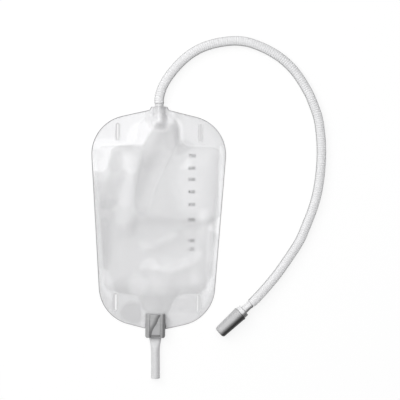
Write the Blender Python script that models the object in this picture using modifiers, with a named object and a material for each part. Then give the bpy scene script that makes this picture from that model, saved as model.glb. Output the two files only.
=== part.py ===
"""Leg-worn urine drainage bag with its tube, capped connector and outlet clamp.

The bag lies on its back: +X across, +Y towards the inlet, +Z up out of the front film.
The origin is under the middle of the bag, from its inlet's mouth to its outlet tube's end.
Metres throughout.
"""

import math

import bmesh
import bpy
from mathutils import Matrix, Vector

# Films and clearances
FILM = 0.0004
VALVE_FILM = 0.0003
GAP = 0.0003
SADDLE_MARGIN = 0.0009

# Bag outline: straight edges that meet in rounded corners
TAB_TOP_Y = 0.1561
TAB_TOP_HALF = 0.0090
TAB_DEPTH = 0.0039
TAB_BASE_Y = TAB_TOP_Y - TAB_DEPTH
TAB_BASE_HALF = 0.0110
TAB_FILLET = 0.0010
SHOULDER_X = 0.0805
SHOULDER_Y = 0.1358
SHOULDER_RADIUS = 0.045
HIP_X = 0.0650
HIP_Y = -0.0890
HIP_RADIUS = 0.045
BOTTOM_Y = -0.1034

# Weld line of the chamber: the corners round the slots stay flat
TAB_WELD = 0.0032
NECK_TOP_Y = TAB_BASE_Y - TAB_WELD
NECK_TOP_HALF = 0.0125
NECK_DROP = 0.0150
NECK_WIDE_Y = NECK_TOP_Y - NECK_DROP
NECK_WIDE_HALF = 0.0250
NECK_FOOT_HALF = 0.0255
CHEST_Y = 0.1105
CHEST_HALF = 0.0738
WAIST_Y = -0.0590
WAIST_HALF = 0.0612
FUNNEL_HALF = 0.0220
FUNNEL_Y = -0.0640
SUMP_HALF = 0.0105
SUMP_Y = -0.0905
WELD_FILLET = 0.012

# Strap slots
SLOT_WIDTH = 0.0050
SLOT_LENGTH = 0.0205
TOP_SLOT_X = 0.0482
TOP_SLOT_Y = 0.1267
LOW_SLOT_X = 0.0489
LOW_SLOT_Y = -0.0717

# Shape of the front film
PILLOW = 0.0095
RISE_RUN = 0.030
NARROWING = 0.35
NARROWING_TOP_Y = -0.050
NARROWING_END_Y = -0.084
LEAST_DEPTH = 0.0022
MELD = 4

# Inlet port and non-return valve: the valve's sides are x and the drop below its top
INLET_AXIS_Z = 0.0059
INLET_BORE_RADIUS = 0.0030
INLET_STUB_RADIUS = 0.0040
INLET_SADDLE_LENGTH = 0.0086
INLET_SADDLE_Y = TAB_TOP_Y - INLET_SADDLE_LENGTH
INLET_COLLAR_LENGTH = 0.0032
INLET_COLLAR_RADIUS = 0.0052
INLET_MOUTH_Y = TAB_TOP_Y + INLET_COLLAR_LENGTH
INLET_STUB_LENGTH = 0.0080
INLET_STUB_END_Y = INLET_SADDLE_Y - INLET_STUB_LENGTH
INLET_SADDLE_HALF = 0.0070
INLET_SADDLE_WALL = 0.0017
VALVE_TOP_Y = INLET_SADDLE_Y - 2 * GAP
VALVE_TOP_HALF = 0.0105
VALVE_LENGTH = 0.1079
VALVE_RIGHT = (
    (0.0215, 0.0139),
    (0.0215, 0.0279),
    (0.0070, 0.0629),
    (-0.0035, 0.0869),
    (-0.0095, VALVE_LENGTH),
)
VALVE_LEFT = (
    (-0.0085, 0.0139),
    (-0.0125, 0.0279),
    (-0.0200, 0.0639),
    (-0.0268, 0.0979),
    (-0.0245, VALVE_LENGTH),
)
VALVE_SLEEVE_HALF = 0.0090
VALVE_DRAPE = 0.011
INLET_DRAPE = 0.016

# Drainage tube: the points along its middle, with y measured from the inlet's mouth
TUBE_DIAMETER = 0.0112
TUBE_SIDES_RESOLUTION = 2
TUBE_POINTS = 60
ROUTE = (
    (0.0000, 0.0003, 0.0059),
    (0.0000, 0.0067, 0.0058),
    (0.0013, 0.0129, 0.0057),
    (0.0039, 0.0205, 0.0057),
    (0.0091, 0.0299, 0.0057),
    (0.0168, 0.0403, 0.0057),
    (0.0258, 0.0502, 0.0057),
    (0.0362, 0.0589, 0.0057),
    (0.0478, 0.0656, 0.0057),
    (0.0604, 0.0702, 0.0057),
    (0.0736, 0.0731, 0.0057),
    (0.0871, 0.0744, 0.0057),
    (0.1005, 0.0732, 0.0057),
    (0.1136, 0.0693, 0.0057),
    (0.1259, 0.0639, 0.0057),
    (0.1375, 0.0572, 0.0057),
    (0.1479, 0.0490, 0.0057),
    (0.1569, 0.0397, 0.0057),
    (0.1644, 0.0295, 0.0057),
    (0.1709, 0.0189, 0.0057),
    (0.1762, 0.0085, 0.0057),
    (0.1842, -0.0128, 0.0057),
    (0.1877, -0.0337, 0.0057),
    (0.1889, -0.0529, 0.0057),
    (0.1884, -0.0711, 0.0057),
    (0.1867, -0.0884, 0.0057),
    (0.1837, -0.1052, 0.0057),
    (0.1790, -0.1216, 0.0057),
    (0.1728, -0.1380, 0.0057),
    (0.1655, -0.1557, 0.0058),
    (0.1552, -0.1727, 0.0060),
    (0.1424, -0.1917, 0.0065),
    (0.1349, -0.2016, 0.0071),
    (0.1233, -0.2155, 0.0080),
    (0.1148, -0.2248, 0.0085),
    (0.1099, -0.2297, 0.0086),
)

# Connector at the tube's far end, and its cap
PLUG_HEADING = (-0.7254, -0.6883)
NECK_RADIUS = 0.0048
NECK_LENGTH = 0.0115
FLANGE_RADIUS = 0.0075
FLANGE_THICKNESS = 0.0048
CONE_ROOT_RADIUS = 0.0062
CONE_TIP_RADIUS = 0.0042
CONE_LENGTH = 0.0275
CONE_STEPS = 4
CONE_STEP_DEPTH = 0.0005
PLUG_BORE_RADIUS = 0.0026
CAP_LENGTH = 0.0338
CAP_MOUTH_RADIUS = 0.0082
CAP_TIP_RADIUS = 0.0070
CAP_WALL = 0.0012
CAP_EDGE = 0.0028
CAP_RIM = 0.0022
CAP_RIM_PROUD = 0.00025

# Outlet port, outlet tube and clamp, all on one line down the bag
OUTLET_X = -0.0010
OUTLET_BORE_RADIUS = 0.0022
OUTLET_SADDLE_END_Y = -0.0915
OUTLET_SADDLE_HALF = 0.0095
OUTLET_SADDLE_WALL = 0.0010
OUTLET_DRAPE = 0.006
SPIGOT_WALL = 0.0011
SPIGOT_END_Y = -0.1034
NOTCH_Y = -0.0963
OUTLET_TUBE_RADIUS = 0.0051
OUTLET_TUBE_WALL = 0.0015
OUTLET_TUBE_TOP_Y = -0.0965
OUTLET_TUBE_LENGTH = 0.0628
PINCH_Y = -0.1076
PINCH_HALF_WIDTH = 0.0072
PINCH_SLIT = 0.0004
ROUND_AGAIN_Y = -0.1265
CLAMP_TOP_Y = -0.0842
CLAMP_END_Y = -0.1118
CLAMP_HALF = 0.0115
CLAMP_HEIGHT = 0.0132
CLAMP_FLOOR = 0.0010
CLAMP_EDGE = 0.0022
CHANNEL_HALF = 0.0077
CHANNEL_ROOF = 0.0030
CHANNEL_TOP_Z = CLAMP_HEIGHT - CHANNEL_ROOF
ARM_UNDERSIDE_Z = 0.0070
ANVIL = 0.0012
RIB_HALF = 0.0012
LEVER_HALF = 0.0066
LEVER_THICKNESS = 0.0014
OUTLET_AXIS_Z = CLAMP_HEIGHT - LEVER_THICKNESS - GAP - OUTLET_TUBE_RADIUS
HINGE_WEB = 0.0036
BARREL_RADIUS = 0.0024
PIN_RADIUS = 0.0013
PIN_REACH = 0.0094
PIN_CLEARANCE = 0.00015
END_WALL = 0.0012
END_WALL_FOOT_Z = 0.0078

# Folds of the front film: start, end, half width of the fold, height (down is negative)
FOLDS = (
    ((-0.028, 0.095), (-0.040, 0.015), 0.010, 0.0028),
    ((-0.049, 0.085), (-0.058, 0.040), 0.008, -0.0022),
    ((-0.060, 0.030), (-0.057, -0.032), 0.007, -0.0020),
    ((0.010, 0.122), (-0.016, 0.050), 0.013, -0.0034),
    ((-0.020, 0.016), (0.050, 0.018), 0.009, -0.0020),
    ((-0.008, -0.006), (0.022, 0.007), 0.007, 0.0016),
    ((0.004, -0.032), (0.048, -0.012), 0.008, 0.0024),
    ((-0.016, -0.028), (-0.002, -0.027), 0.007, 0.0016),
    ((-0.022, -0.042), (-0.016, -0.062), 0.008, 0.0018),
    ((0.028, -0.042), (0.056, -0.034), 0.010, -0.0016),
    ((-0.008, -0.062), (-0.006, -0.084), 0.008, -0.0012),
    ((0.056, 0.024), (0.064, 0.008), 0.006, 0.0012),
)

# Building: how far a cutter reaches past what it cuts, the height over the bag,
# and the spacing of the front film's grid where it is flat, sloped and steep
BEYOND = 0.005
ABOVE = 0.030
FLAT_STEP = 0.0080
SLOPE_STEP = 0.0056
STEEP_STEP = 0.0040
PORT_STEP = 0.0026
ARC_STEP = math.radians(9)
ROUND_SIDES = 32
EDGE_STEPS = 5
SADDLE_STEPS = 14
SECTION_POINTS = 28
KNOT_STEPS = 12


def clear_scene():
    for obj in list(bpy.data.objects):
        bpy.data.objects.remove(obj, do_unlink=True)


def new_collection(name):
    collection = bpy.data.collections.new(name)
    bpy.context.scene.collection.children.link(collection)
    return collection


def new_material(name, color, roughness, alpha=1.0, metallic=0.0):
    material = bpy.data.materials.new(name)
    material.use_nodes = True
    material.diffuse_color = (*color, alpha)
    shader = material.node_tree.nodes["Principled BSDF"]
    shader.inputs["Base Color"].default_value = (*color, 1.0)
    shader.inputs["Roughness"].default_value = roughness
    shader.inputs["Metallic"].default_value = metallic
    shader.inputs["Alpha"].default_value = alpha
    return material


def new_object(name, mesh, collection, material=None):
    obj = bpy.data.objects.new(name, mesh)
    collection.objects.link(obj)
    if material is not None:
        mesh.materials.append(material)
    return obj


def new_cutter(name, mesh, cutters):
    obj = new_object(name, mesh, cutters)
    obj.hide_render = True
    obj.display_type = "WIRE"
    return obj


def mesh_from(bm, name):
    bmesh.ops.recalc_face_normals(bm, faces=bm.faces)
    mesh = bpy.data.meshes.new(name)
    bm.to_mesh(mesh)
    bm.free()
    return mesh


def boolean(obj, other, operation):
    modifier = obj.modifiers.new(other.name, "BOOLEAN")
    modifier.operation = operation
    modifier.solver = "EXACT"
    modifier.object = other


def smooth(mesh, angle=35):
    mesh.shade_smooth()
    mesh.set_sharp_from_angle(angle=math.radians(angle))


def smoothstep(value):
    value = min(max(value, 0.0), 1.0)
    return value * value * (3.0 - 2.0 * value)


def rounded(corners):
    """Closed outline through corners (x, y, radius), each rounded by an arc."""
    points = []
    for i, (x, y, radius) in enumerate(corners):
        corner = Vector((x, y))
        before = Vector(corners[i - 1][:2]) - corner
        after = Vector(corners[(i + 1) % len(corners)][:2]) - corner
        turn = math.pi - before.angle(after)
        if radius <= 0.0 or turn < 0.01:
            points.append(corner)
            continue
        inward = (before.normalized() + after.normalized()).normalized()
        centre = corner + inward * radius / math.cos(turn / 2)
        start = corner + before.normalized() * radius * math.tan(turn / 2) - centre
        side = 1.0 if before.cross(after) < 0 else -1.0
        steps = max(2, round(turn / ARC_STEP))
        for step in range(steps + 1):
            angle = side * turn * step / steps
            turned = Vector((start.x * math.cos(angle) - start.y * math.sin(angle),
                             start.x * math.sin(angle) + start.y * math.cos(angle)))
            points.append(centre + turned)
    return points


def mirrored(corners):
    """Corners of the right half, top to bottom, and their mirror images back up."""
    return corners + [(-x, y, radius) for x, y, radius in reversed(corners)]


def bag_outline():
    return rounded(mirrored([
        (TAB_TOP_HALF, TAB_TOP_Y, TAB_FILLET),
        (TAB_BASE_HALF, TAB_BASE_Y, TAB_FILLET),
        (SHOULDER_X, SHOULDER_Y, SHOULDER_RADIUS),
        (HIP_X, HIP_Y, HIP_RADIUS),
        (0.5 * CLAMP_HALF, BOTTOM_Y, 0.0),
    ]))


def chamber_outline():
    return rounded(mirrored([
        (NECK_TOP_HALF, NECK_TOP_Y, 0.0),
        (NECK_WIDE_HALF, NECK_WIDE_Y, 0.0),
        (NECK_FOOT_HALF, CHEST_Y, WELD_FILLET),
        (CHEST_HALF, CHEST_Y, WELD_FILLET),
        (WAIST_HALF, WAIST_Y, WELD_FILLET),
        (FUNNEL_HALF, FUNNEL_Y, WELD_FILLET),
        (SUMP_HALF, SUMP_Y, 0.0),
    ]))


def prism(outline, low, high, axis="Z"):
    """Solid of a flat outline, from low to high along an axis.

    The outline's pairs are x, y along Z, y, z along X, and x, z along Y.
    """
    place = {
        "Z": lambda a, b, c: (a, b, c),
        "X": lambda a, b, c: (c, a, b),
        "Y": lambda a, b, c: (a, c, b),
    }[axis]
    bm = bmesh.new()
    ring = [bm.verts.new(place(a, b, low)) for a, b in outline]
    face = bm.faces.new(ring)
    grown = bmesh.ops.extrude_face_region(bm, geom=[face])["geom"]
    moved = [item for item in grown if isinstance(item, bmesh.types.BMVert)]
    bmesh.ops.translate(bm, verts=moved, vec=place(0.0, 0.0, high - low))
    return mesh_from(bm, "prism")


def box(low, high):
    bm = bmesh.new()
    bmesh.ops.create_cube(bm, size=1.0)
    size = Vector(high) - Vector(low)
    middle = (Vector(high) + Vector(low)) / 2
    bmesh.ops.scale(bm, vec=size, verts=bm.verts)
    bmesh.ops.translate(bm, vec=middle, verts=bm.verts)
    return mesh_from(bm, "box")


def rod(start, end, radius, end_radius=None):
    """Round bar from start to end."""
    start = Vector(start)
    run = Vector(end) - start
    bm = bmesh.new()
    bmesh.ops.create_cone(bm, cap_ends=True, segments=ROUND_SIDES, radius1=radius,
                          radius2=radius if end_radius is None else end_radius,
                          depth=run.length)
    turn = Vector((0.0, 0.0, 1.0)).rotation_difference(run).to_matrix()
    bmesh.ops.rotate(bm, verts=bm.verts, matrix=turn)
    bmesh.ops.translate(bm, verts=bm.verts, vec=start + run / 2)
    return mesh_from(bm, "rod")


def stations(stops, end):
    """Places along an axis, from (start, step) pairs to the end."""
    places = []
    for i, (start, step) in enumerate(stops):
        stop = stops[i + 1][0] if i + 1 < len(stops) else end
        count = max(1, round((stop - start) / step))
        places += [start + (stop - start) * k / count for k in range(count)]
    return places + [end]


def draped_sheet(xs, ys, height):
    """Open grid whose lines lie at xs and ys, raised to height(x, y)."""
    bm = bmesh.new()
    columns = len(xs) - 1
    rows = len(ys) - 1
    bmesh.ops.create_grid(bm, x_segments=columns, y_segments=rows, size=1.0)
    for vert in bm.verts:
        x = xs[round((vert.co.x + 1.0) / 2 * columns)]
        y = ys[round((vert.co.y + 1.0) / 2 * rows)]
        vert.co = (x, y, height(x, y))
    return mesh_from(bm, "sheet")


def to_segment(x, y, start, end):
    """Distance from a point to a segment."""
    run_x = end[0] - start[0]
    run_y = end[1] - start[1]
    along = ((x - start[0]) * run_x + (y - start[1]) * run_y) / (run_x ** 2 + run_y ** 2)
    along = min(max(along, 0.0), 1.0)
    return math.hypot(x - start[0] - along * run_x, y - start[1] - along * run_y)


def depth_inside(x, y, outline):
    """How far a point lies inside a closed outline, or 0 outside it."""
    inside = False
    nearest = math.inf
    for i, end in enumerate(outline):
        start = outline[i - 1]
        nearest = min(nearest, to_segment(x, y, start, end))
        if (start[1] > y) != (end[1] > y):
            crossing = start[0] + (y - start[1]) / (end[1] - start[1]) * (end[0] - start[0])
            inside ^= x < crossing
    return nearest if inside else 0.0


def arch(x, middle, half, height):
    """Height of a flat-based arch over its base line."""
    return height * max(0.0, 1.0 - ((x - middle) / half) ** 2)


def inlet_height():
    """Top of the inlet saddle over the film it stands on."""
    return INLET_AXIS_Z + INLET_BORE_RADIUS + INLET_SADDLE_WALL - FILM - GAP


def outlet_height():
    """Top of the outlet saddle over the film it stands on."""
    return OUTLET_AXIS_Z + OUTLET_BORE_RADIUS + OUTLET_SADDLE_WALL - FILM - GAP


def over_inlet(x, y):
    """The front film's rise over the inlet port and the valve wrapped round it."""
    lean = smoothstep((y - INLET_SADDLE_Y) / (TAB_BASE_Y - INLET_SADDLE_Y))
    wide = VALVE_SLEEVE_HALF + SADDLE_MARGIN
    half = wide + (INLET_SADDLE_HALF + SADDLE_MARGIN - wide) * lean
    fade = smoothstep(1.0 - (INLET_STUB_END_Y - y) / INLET_DRAPE)
    return arch(x, 0.0, half, inlet_height() + GAP) * fade


def over_outlet(x, y):
    """The front film's rise over the outlet port."""
    fade = smoothstep(1.0 - (y - OUTLET_SADDLE_END_Y) / OUTLET_DRAPE)
    return arch(x, OUTLET_X, OUTLET_SADDLE_HALF + SADDLE_MARGIN, outlet_height() + GAP) * fade


def pillow(x, y, weld_line):
    """The front film's rise over the chamber, with its folds."""
    depth = depth_inside(x, y, weld_line)
    if depth == 0.0:
        return 0.0
    inward = min(depth / RISE_RUN, 1.0)
    rise = math.sqrt(1.0 - (1.0 - inward) ** 2)
    fall = (NARROWING_TOP_Y - y) / (NARROWING_TOP_Y - NARROWING_END_Y)
    narrow = 1.0 - (1.0 - NARROWING) * smoothstep(fall)
    folds = 0.0
    for start, end, half, height in FOLDS:
        folds += height * math.exp(-(to_segment(x, y, start, end) / half) ** 2)
    least = min(LEAST_DEPTH, depth)
    return max(least, (PILLOW * rise + folds * smoothstep(inward * 2)) * narrow)


def front_height(x, y, weld_line):
    """Middle of the front film's thickness."""
    rises = (pillow(x, y, weld_line), over_inlet(x, y), over_outlet(x, y))
    rise = sum(height ** MELD for height in rises) ** (1 / MELD)
    return FILM + GAP + FILM / 2 + rise


def valve_height(x, y):
    """Middle of the valve's front film: flat below, wrapped over the inlet stub above."""
    flat = FILM + GAP + VALVE_FILM + GAP
    over = INLET_AXIS_Z + INLET_STUB_RADIUS + GAP - flat
    fade = smoothstep(1.0 - (INLET_STUB_END_Y - y) / VALVE_DRAPE)
    return flat + VALVE_FILM / 2 + arch(x, 0.0, VALVE_SLEEVE_HALF, over) * fade


def make_slots(cutters):
    """One cutter with the four strap slots."""
    bm = bmesh.new()
    for middle_x, middle_y in ((TOP_SLOT_X, TOP_SLOT_Y), (-TOP_SLOT_X, TOP_SLOT_Y),
                               (LOW_SLOT_X, LOW_SLOT_Y), (-LOW_SLOT_X, LOW_SLOT_Y)):
        half = SLOT_WIDTH / 2
        reach = SLOT_LENGTH / 2
        slot = rounded([(middle_x - half, middle_y - reach, half * 0.999),
                        (middle_x + half, middle_y - reach, half * 0.999),
                        (middle_x + half, middle_y + reach, half * 0.999),
                        (middle_x - half, middle_y + reach, half * 0.999)])
        mesh = prism(slot, -BEYOND, BEYOND)
        bm.from_mesh(mesh)
        bpy.data.meshes.remove(mesh)
    return new_cutter("strap_slots", mesh_from(bm, "strap_slots"), cutters)


def make_panels(parts, cutters, clear_film, back_sheet):
    """The two films of the bag, welded along the outline and round the slots."""
    slots = make_slots(cutters)
    notch = new_cutter("clamp_notch", box(
        (OUTLET_X - CLAMP_HALF - GAP, BOTTOM_Y - BEYOND, -BEYOND),
        (OUTLET_X + CLAMP_HALF + GAP, NOTCH_Y, ABOVE)), cutters)
    outline = bag_outline()

    back = new_object("back_panel", prism(outline, 0.0, FILM), parts, back_sheet)
    boolean(back, slots, "DIFFERENCE")
    boolean(back, notch, "DIFFERENCE")

    edge = SHOULDER_X + FILM
    flank = edge - RISE_RUN + FLAT_STEP / 2
    throat = VALVE_SLEEVE_HALF + STEEP_STEP
    columns = stations([(-edge, STEEP_STEP), (-flank, FLAT_STEP), (-throat, PORT_STEP),
                        (throat, FLAT_STEP), (flank, STEEP_STEP)], edge)
    rows = stations([(BOTTOM_Y - FLAT_STEP / 4, PORT_STEP), (OUTLET_SADDLE_END_Y, PORT_STEP),
                     (NARROWING_END_Y, SLOPE_STEP), (NARROWING_TOP_Y, FLAT_STEP),
                     (CHEST_Y - RISE_RUN, SLOPE_STEP), (NECK_WIDE_Y, PORT_STEP)],
                    TAB_TOP_Y + FLAT_STEP / 4)
    weld_line = chamber_outline()
    sheet = draped_sheet(columns, rows, lambda x, y: front_height(x, y, weld_line))
    front = new_object("front_panel", sheet, parts, clear_film)
    thicken(front, FILM)
    trim = new_cutter("front_trim", prism(outline, -BEYOND, ABOVE), cutters)
    boolean(front, trim, "INTERSECT")
    boolean(front, slots, "DIFFERENCE")
    boolean(front, notch, "DIFFERENCE")
    smooth(sheet)


def thicken(obj, thickness):
    modifier = obj.modifiers.new("thickness", "SOLIDIFY")
    modifier.thickness = thickness
    modifier.offset = 0.0


def make_valve(parts, cutters, clear_film):
    """Two films that fold shut below the inlet, so nothing runs back up."""
    corners = ((VALVE_TOP_HALF, 0.0), *VALVE_RIGHT,
               *reversed(VALVE_LEFT), (-VALVE_TOP_HALF, 0.0))
    outline = [(x, VALVE_TOP_Y - drop) for x, drop in corners]
    base = FILM + GAP
    new_object("valve_film_back", prism(outline, base, base + VALVE_FILM), parts, clear_film)
    reach = max(abs(x) for x, y in outline) + FILM
    wrapped_y = INLET_STUB_END_Y - VALVE_DRAPE
    columns = stations([(-reach, FLAT_STEP), (-VALVE_TOP_HALF, PORT_STEP),
                        (VALVE_TOP_HALF, FLAT_STEP)], reach)
    rows = stations([(VALVE_TOP_Y - VALVE_LENGTH - FILM, 3 * FLAT_STEP),
                     (wrapped_y, PORT_STEP)], VALVE_TOP_Y + FILM)
    sheet = draped_sheet(columns, rows, valve_height)
    front = new_object("valve_film_front", sheet, parts, clear_film)
    thicken(front, VALVE_FILM)
    trim = new_cutter("valve_trim", prism(outline, -BEYOND, ABOVE), cutters)
    boolean(front, trim, "INTERSECT")
    smooth(sheet)


def saddle(middle, half, height, low_y, high_y):
    """Boat-shaped foot of a port, flat below and arched above."""
    base = FILM + GAP
    outline = []
    for k in range(SADDLE_STEPS + 1):
        x = half * (1.0 - 2.0 * k / SADDLE_STEPS)
        outline.append((middle + x, base + FILM + arch(x, 0.0, half, height - FILM)))
    outline += [(middle - half, base), (middle + half, base)]
    return prism(outline, low_y, high_y, "Y")


def make_inlet_port(parts, cutters, clear_plastic):
    port = new_object("inlet_port", saddle(0.0, INLET_SADDLE_HALF, inlet_height(),
                                           INLET_SADDLE_Y, TAB_TOP_Y), parts, clear_plastic)
    stub = new_cutter("inlet_stub", rod(
        (0.0, INLET_MOUTH_Y - GAP, INLET_AXIS_Z),
        (0.0, INLET_STUB_END_Y, INLET_AXIS_Z), INLET_STUB_RADIUS), cutters)
    collar = new_cutter("inlet_collar", rod(
        (0.0, TAB_TOP_Y + GAP, INLET_AXIS_Z),
        (0.0, INLET_MOUTH_Y, INLET_AXIS_Z), INLET_COLLAR_RADIUS), cutters)
    bore = new_cutter("inlet_bore", rod(
        (0.0, INLET_MOUTH_Y + BEYOND, INLET_AXIS_Z),
        (0.0, INLET_STUB_END_Y - BEYOND, INLET_AXIS_Z), INLET_BORE_RADIUS), cutters)
    boolean(port, stub, "UNION")
    boolean(port, collar, "UNION")
    boolean(port, bore, "DIFFERENCE")


def make_outlet_port(parts, cutters, clear_plastic):
    root_y = NOTCH_Y + GAP
    spigot_radius = OUTLET_BORE_RADIUS + SPIGOT_WALL
    port = new_object("outlet_port", saddle(OUTLET_X, OUTLET_SADDLE_HALF, outlet_height(),
                                            root_y, OUTLET_SADDLE_END_Y), parts, clear_plastic)
    spigot = new_cutter("outlet_spigot", rod(
        (OUTLET_X, root_y + spigot_radius / 2, OUTLET_AXIS_Z),
        (OUTLET_X, SPIGOT_END_Y, OUTLET_AXIS_Z),
        spigot_radius, spigot_radius - GAP), cutters)
    bore = new_cutter("outlet_bore", rod(
        (OUTLET_X, OUTLET_SADDLE_END_Y + BEYOND, OUTLET_AXIS_Z),
        (OUTLET_X, SPIGOT_END_Y - BEYOND, OUTLET_AXIS_Z), OUTLET_BORE_RADIUS), cutters)
    boolean(port, spigot, "UNION")
    boolean(port, bore, "DIFFERENCE")


def smooth_route(points, count):
    """Evenly spaced points on a smooth curve through the route's own points."""
    knots = [Vector(point) for point in points]
    knots = [2 * knots[0] - knots[1]] + knots + [2 * knots[-1] - knots[-2]]
    fine = []
    for i in range(1, len(knots) - 2):
        a, b, c, d = knots[i - 1:i + 3]
        for k in range(KNOT_STEPS):
            t = k / KNOT_STEPS
            fine.append(0.5 * (2 * b + (c - a) * t + (2 * a - 5 * b + 4 * c - d) * t ** 2
                               + (3 * b - a - 3 * c + d) * t ** 3))
    fine.append(knots[-2])
    travelled = [0.0]
    for before, after in zip(fine, fine[1:]):
        travelled.append(travelled[-1] + (after - before).length)
    even = []
    at = 0
    for k in range(count):
        want = travelled[-1] * k / (count - 1)
        while at < len(fine) - 2 and travelled[at + 1] < want:
            at += 1
        share = (want - travelled[at]) / (travelled[at + 1] - travelled[at])
        even.append(fine[at].lerp(fine[at + 1], min(share, 1.0)))
    return even


def route():
    """The tube's middle line, from the inlet's mouth to the connector."""
    return [(x, INLET_MOUTH_Y + y, z) for x, y, z in ROUTE]


def make_drainage_tube(parts, tube_plastic):
    curve = bpy.data.curves.new("drainage_tube", "CURVE")
    curve.dimensions = "3D"
    curve.bevel_depth = TUBE_DIAMETER / 2
    curve.bevel_resolution = TUBE_SIDES_RESOLUTION
    curve.use_fill_caps = True
    spline = curve.splines.new("POLY")
    points = smooth_route(route(), TUBE_POINTS)
    spline.points.add(len(points) - 1)
    for target, point in zip(spline.points, points):
        target.co = (*point, 1.0)
    curve.materials.append(tube_plastic)
    parts.objects.link(bpy.data.objects.new("drainage_tube", curve))


def turned(name, profile, parts, material):
    """A piece turned round its own X axis, from (along, radius) pairs on its section."""
    bm = bmesh.new()
    verts = [bm.verts.new((radius, 0.0, -along)) for along, radius in profile]
    for first, second in zip(verts, verts[1:] + verts[:1]):
        bm.edges.new((first, second))
    mesh = bpy.data.meshes.new(name)
    bm.to_mesh(mesh)
    bm.free()
    obj = new_object(name, mesh, parts, material)
    screw = obj.modifiers.new("turn", "SCREW")
    screw.axis = "Z"
    screw.steps = ROUND_SIDES
    screw.render_steps = ROUND_SIDES
    screw.use_merge_vertices = True
    screw.merge_threshold = 0.00001
    heading = Vector((*PLUG_HEADING, 0.0)).normalized()
    obj.rotation_mode = "QUATERNION"
    obj.rotation_quaternion = Vector((0.0, 0.0, -1.0)).rotation_difference(heading)
    return obj


def plug_place(along):
    """A point on the connector's axis, at a distance beyond the tube's end."""
    heading = Vector((*PLUG_HEADING, 0.0)).normalized()
    return Vector(route()[-1]) + heading * along


def make_connector(parts, clear_plastic):
    """Stepped cone that pushes into a catheter, with its flange and neck."""
    cone_start = NECK_LENGTH + FLANGE_THICKNESS
    cone_end = cone_start + CONE_LENGTH
    profile = [(0.0, PLUG_BORE_RADIUS), (0.0, NECK_RADIUS), (NECK_LENGTH, NECK_RADIUS),
               (NECK_LENGTH, FLANGE_RADIUS - GAP), (NECK_LENGTH + GAP, FLANGE_RADIUS),
               (cone_start - GAP, FLANGE_RADIUS), (cone_start, FLANGE_RADIUS - GAP)]
    for step in range(CONE_STEPS):
        near = CONE_ROOT_RADIUS + (CONE_TIP_RADIUS - CONE_ROOT_RADIUS) * step / CONE_STEPS
        far = CONE_ROOT_RADIUS + (CONE_TIP_RADIUS - CONE_ROOT_RADIUS) * (step + 1) / CONE_STEPS
        at = cone_start + CONE_LENGTH * step / CONE_STEPS
        end = cone_start + CONE_LENGTH * (step + 1) / CONE_STEPS
        profile += [(at, near - CONE_STEP_DEPTH), (at + CONE_LENGTH / CONE_STEPS / 3, near),
                    (end, far)]
    profile.append((cone_end, PLUG_BORE_RADIUS))
    connector = turned("tube_connector", tidy_profile(profile), parts, clear_plastic)
    connector.location = plug_place(GAP)
    smooth(connector.data, 30)


def tidy_profile(profile):
    """The profile without points that repeat the one before."""
    kept = [profile[0]]
    for point in profile[1:]:
        if math.dist(point, kept[-1]) > 0.00002:
            kept.append(point)
    return kept


def make_cap(parts, cap_plastic):
    """Hollow tapered cap that pulls off along the connector's axis."""
    profile = [(0.0, CAP_MOUTH_RADIUS - CAP_WALL),
               (0.0, CAP_MOUTH_RADIUS + CAP_RIM_PROUD),
               (CAP_RIM, CAP_MOUTH_RADIUS + CAP_RIM_PROUD),
               (CAP_RIM, CAP_MOUTH_RADIUS)]
    for k in range(EDGE_STEPS + 1):
        angle = math.pi / 2 * k / EDGE_STEPS
        profile.append((CAP_LENGTH - CAP_EDGE * (1 - math.sin(angle)),
                        CAP_TIP_RADIUS - CAP_EDGE * (1 - math.cos(angle))))
    profile += [(CAP_LENGTH, 0.0), (CAP_LENGTH - CAP_WALL, 0.0),
                (CAP_LENGTH - CAP_WALL, CAP_TIP_RADIUS - CAP_EDGE),
                (CAP_LENGTH - CAP_EDGE, CAP_TIP_RADIUS - CAP_WALL)]
    cap = turned("connector_cap", profile, parts, cap_plastic)
    cap.location = plug_place(NECK_LENGTH + FLANGE_THICKNESS + 2 * GAP)
    smooth(cap.data, 30)


def tube_section(half_width, half_height, middle_z, y):
    """Ring of points of a tube pressed from round to flat."""
    ring = []
    for k in range(SECTION_POINTS):
        angle = 2 * math.pi * (k + 0.5) / SECTION_POINTS
        side = math.copysign(half_width - half_height, math.cos(angle))
        ring.append((OUTLET_X + side + half_height * math.cos(angle), y,
                     middle_z + half_height * math.sin(angle)))
    return ring


def outlet_tube_shape(y):
    """Half width, half height and middle height of the outlet tube at y."""
    pinch_height = OUTLET_TUBE_WALL + PINCH_SLIT / 2
    pinch_z = CLAMP_FLOOR + ANVIL + GAP + pinch_height
    if y > PINCH_Y:
        round_y = SPIGOT_END_Y - GAP
        flat_y = PINCH_Y + RIB_HALF
        free_z = OUTLET_AXIS_Z
    else:
        round_y = ROUND_AGAIN_Y
        flat_y = PINCH_Y - RIB_HALF
        free_z = OUTLET_TUBE_RADIUS
    squeeze = smoothstep((y - round_y) / (flat_y - round_y))
    half_width = OUTLET_TUBE_RADIUS + (PINCH_HALF_WIDTH - OUTLET_TUBE_RADIUS) * squeeze
    half_height = OUTLET_TUBE_RADIUS + (pinch_height - OUTLET_TUBE_RADIUS) * squeeze
    return half_width, half_height, free_z + (pinch_z - free_z) * squeeze


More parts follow.
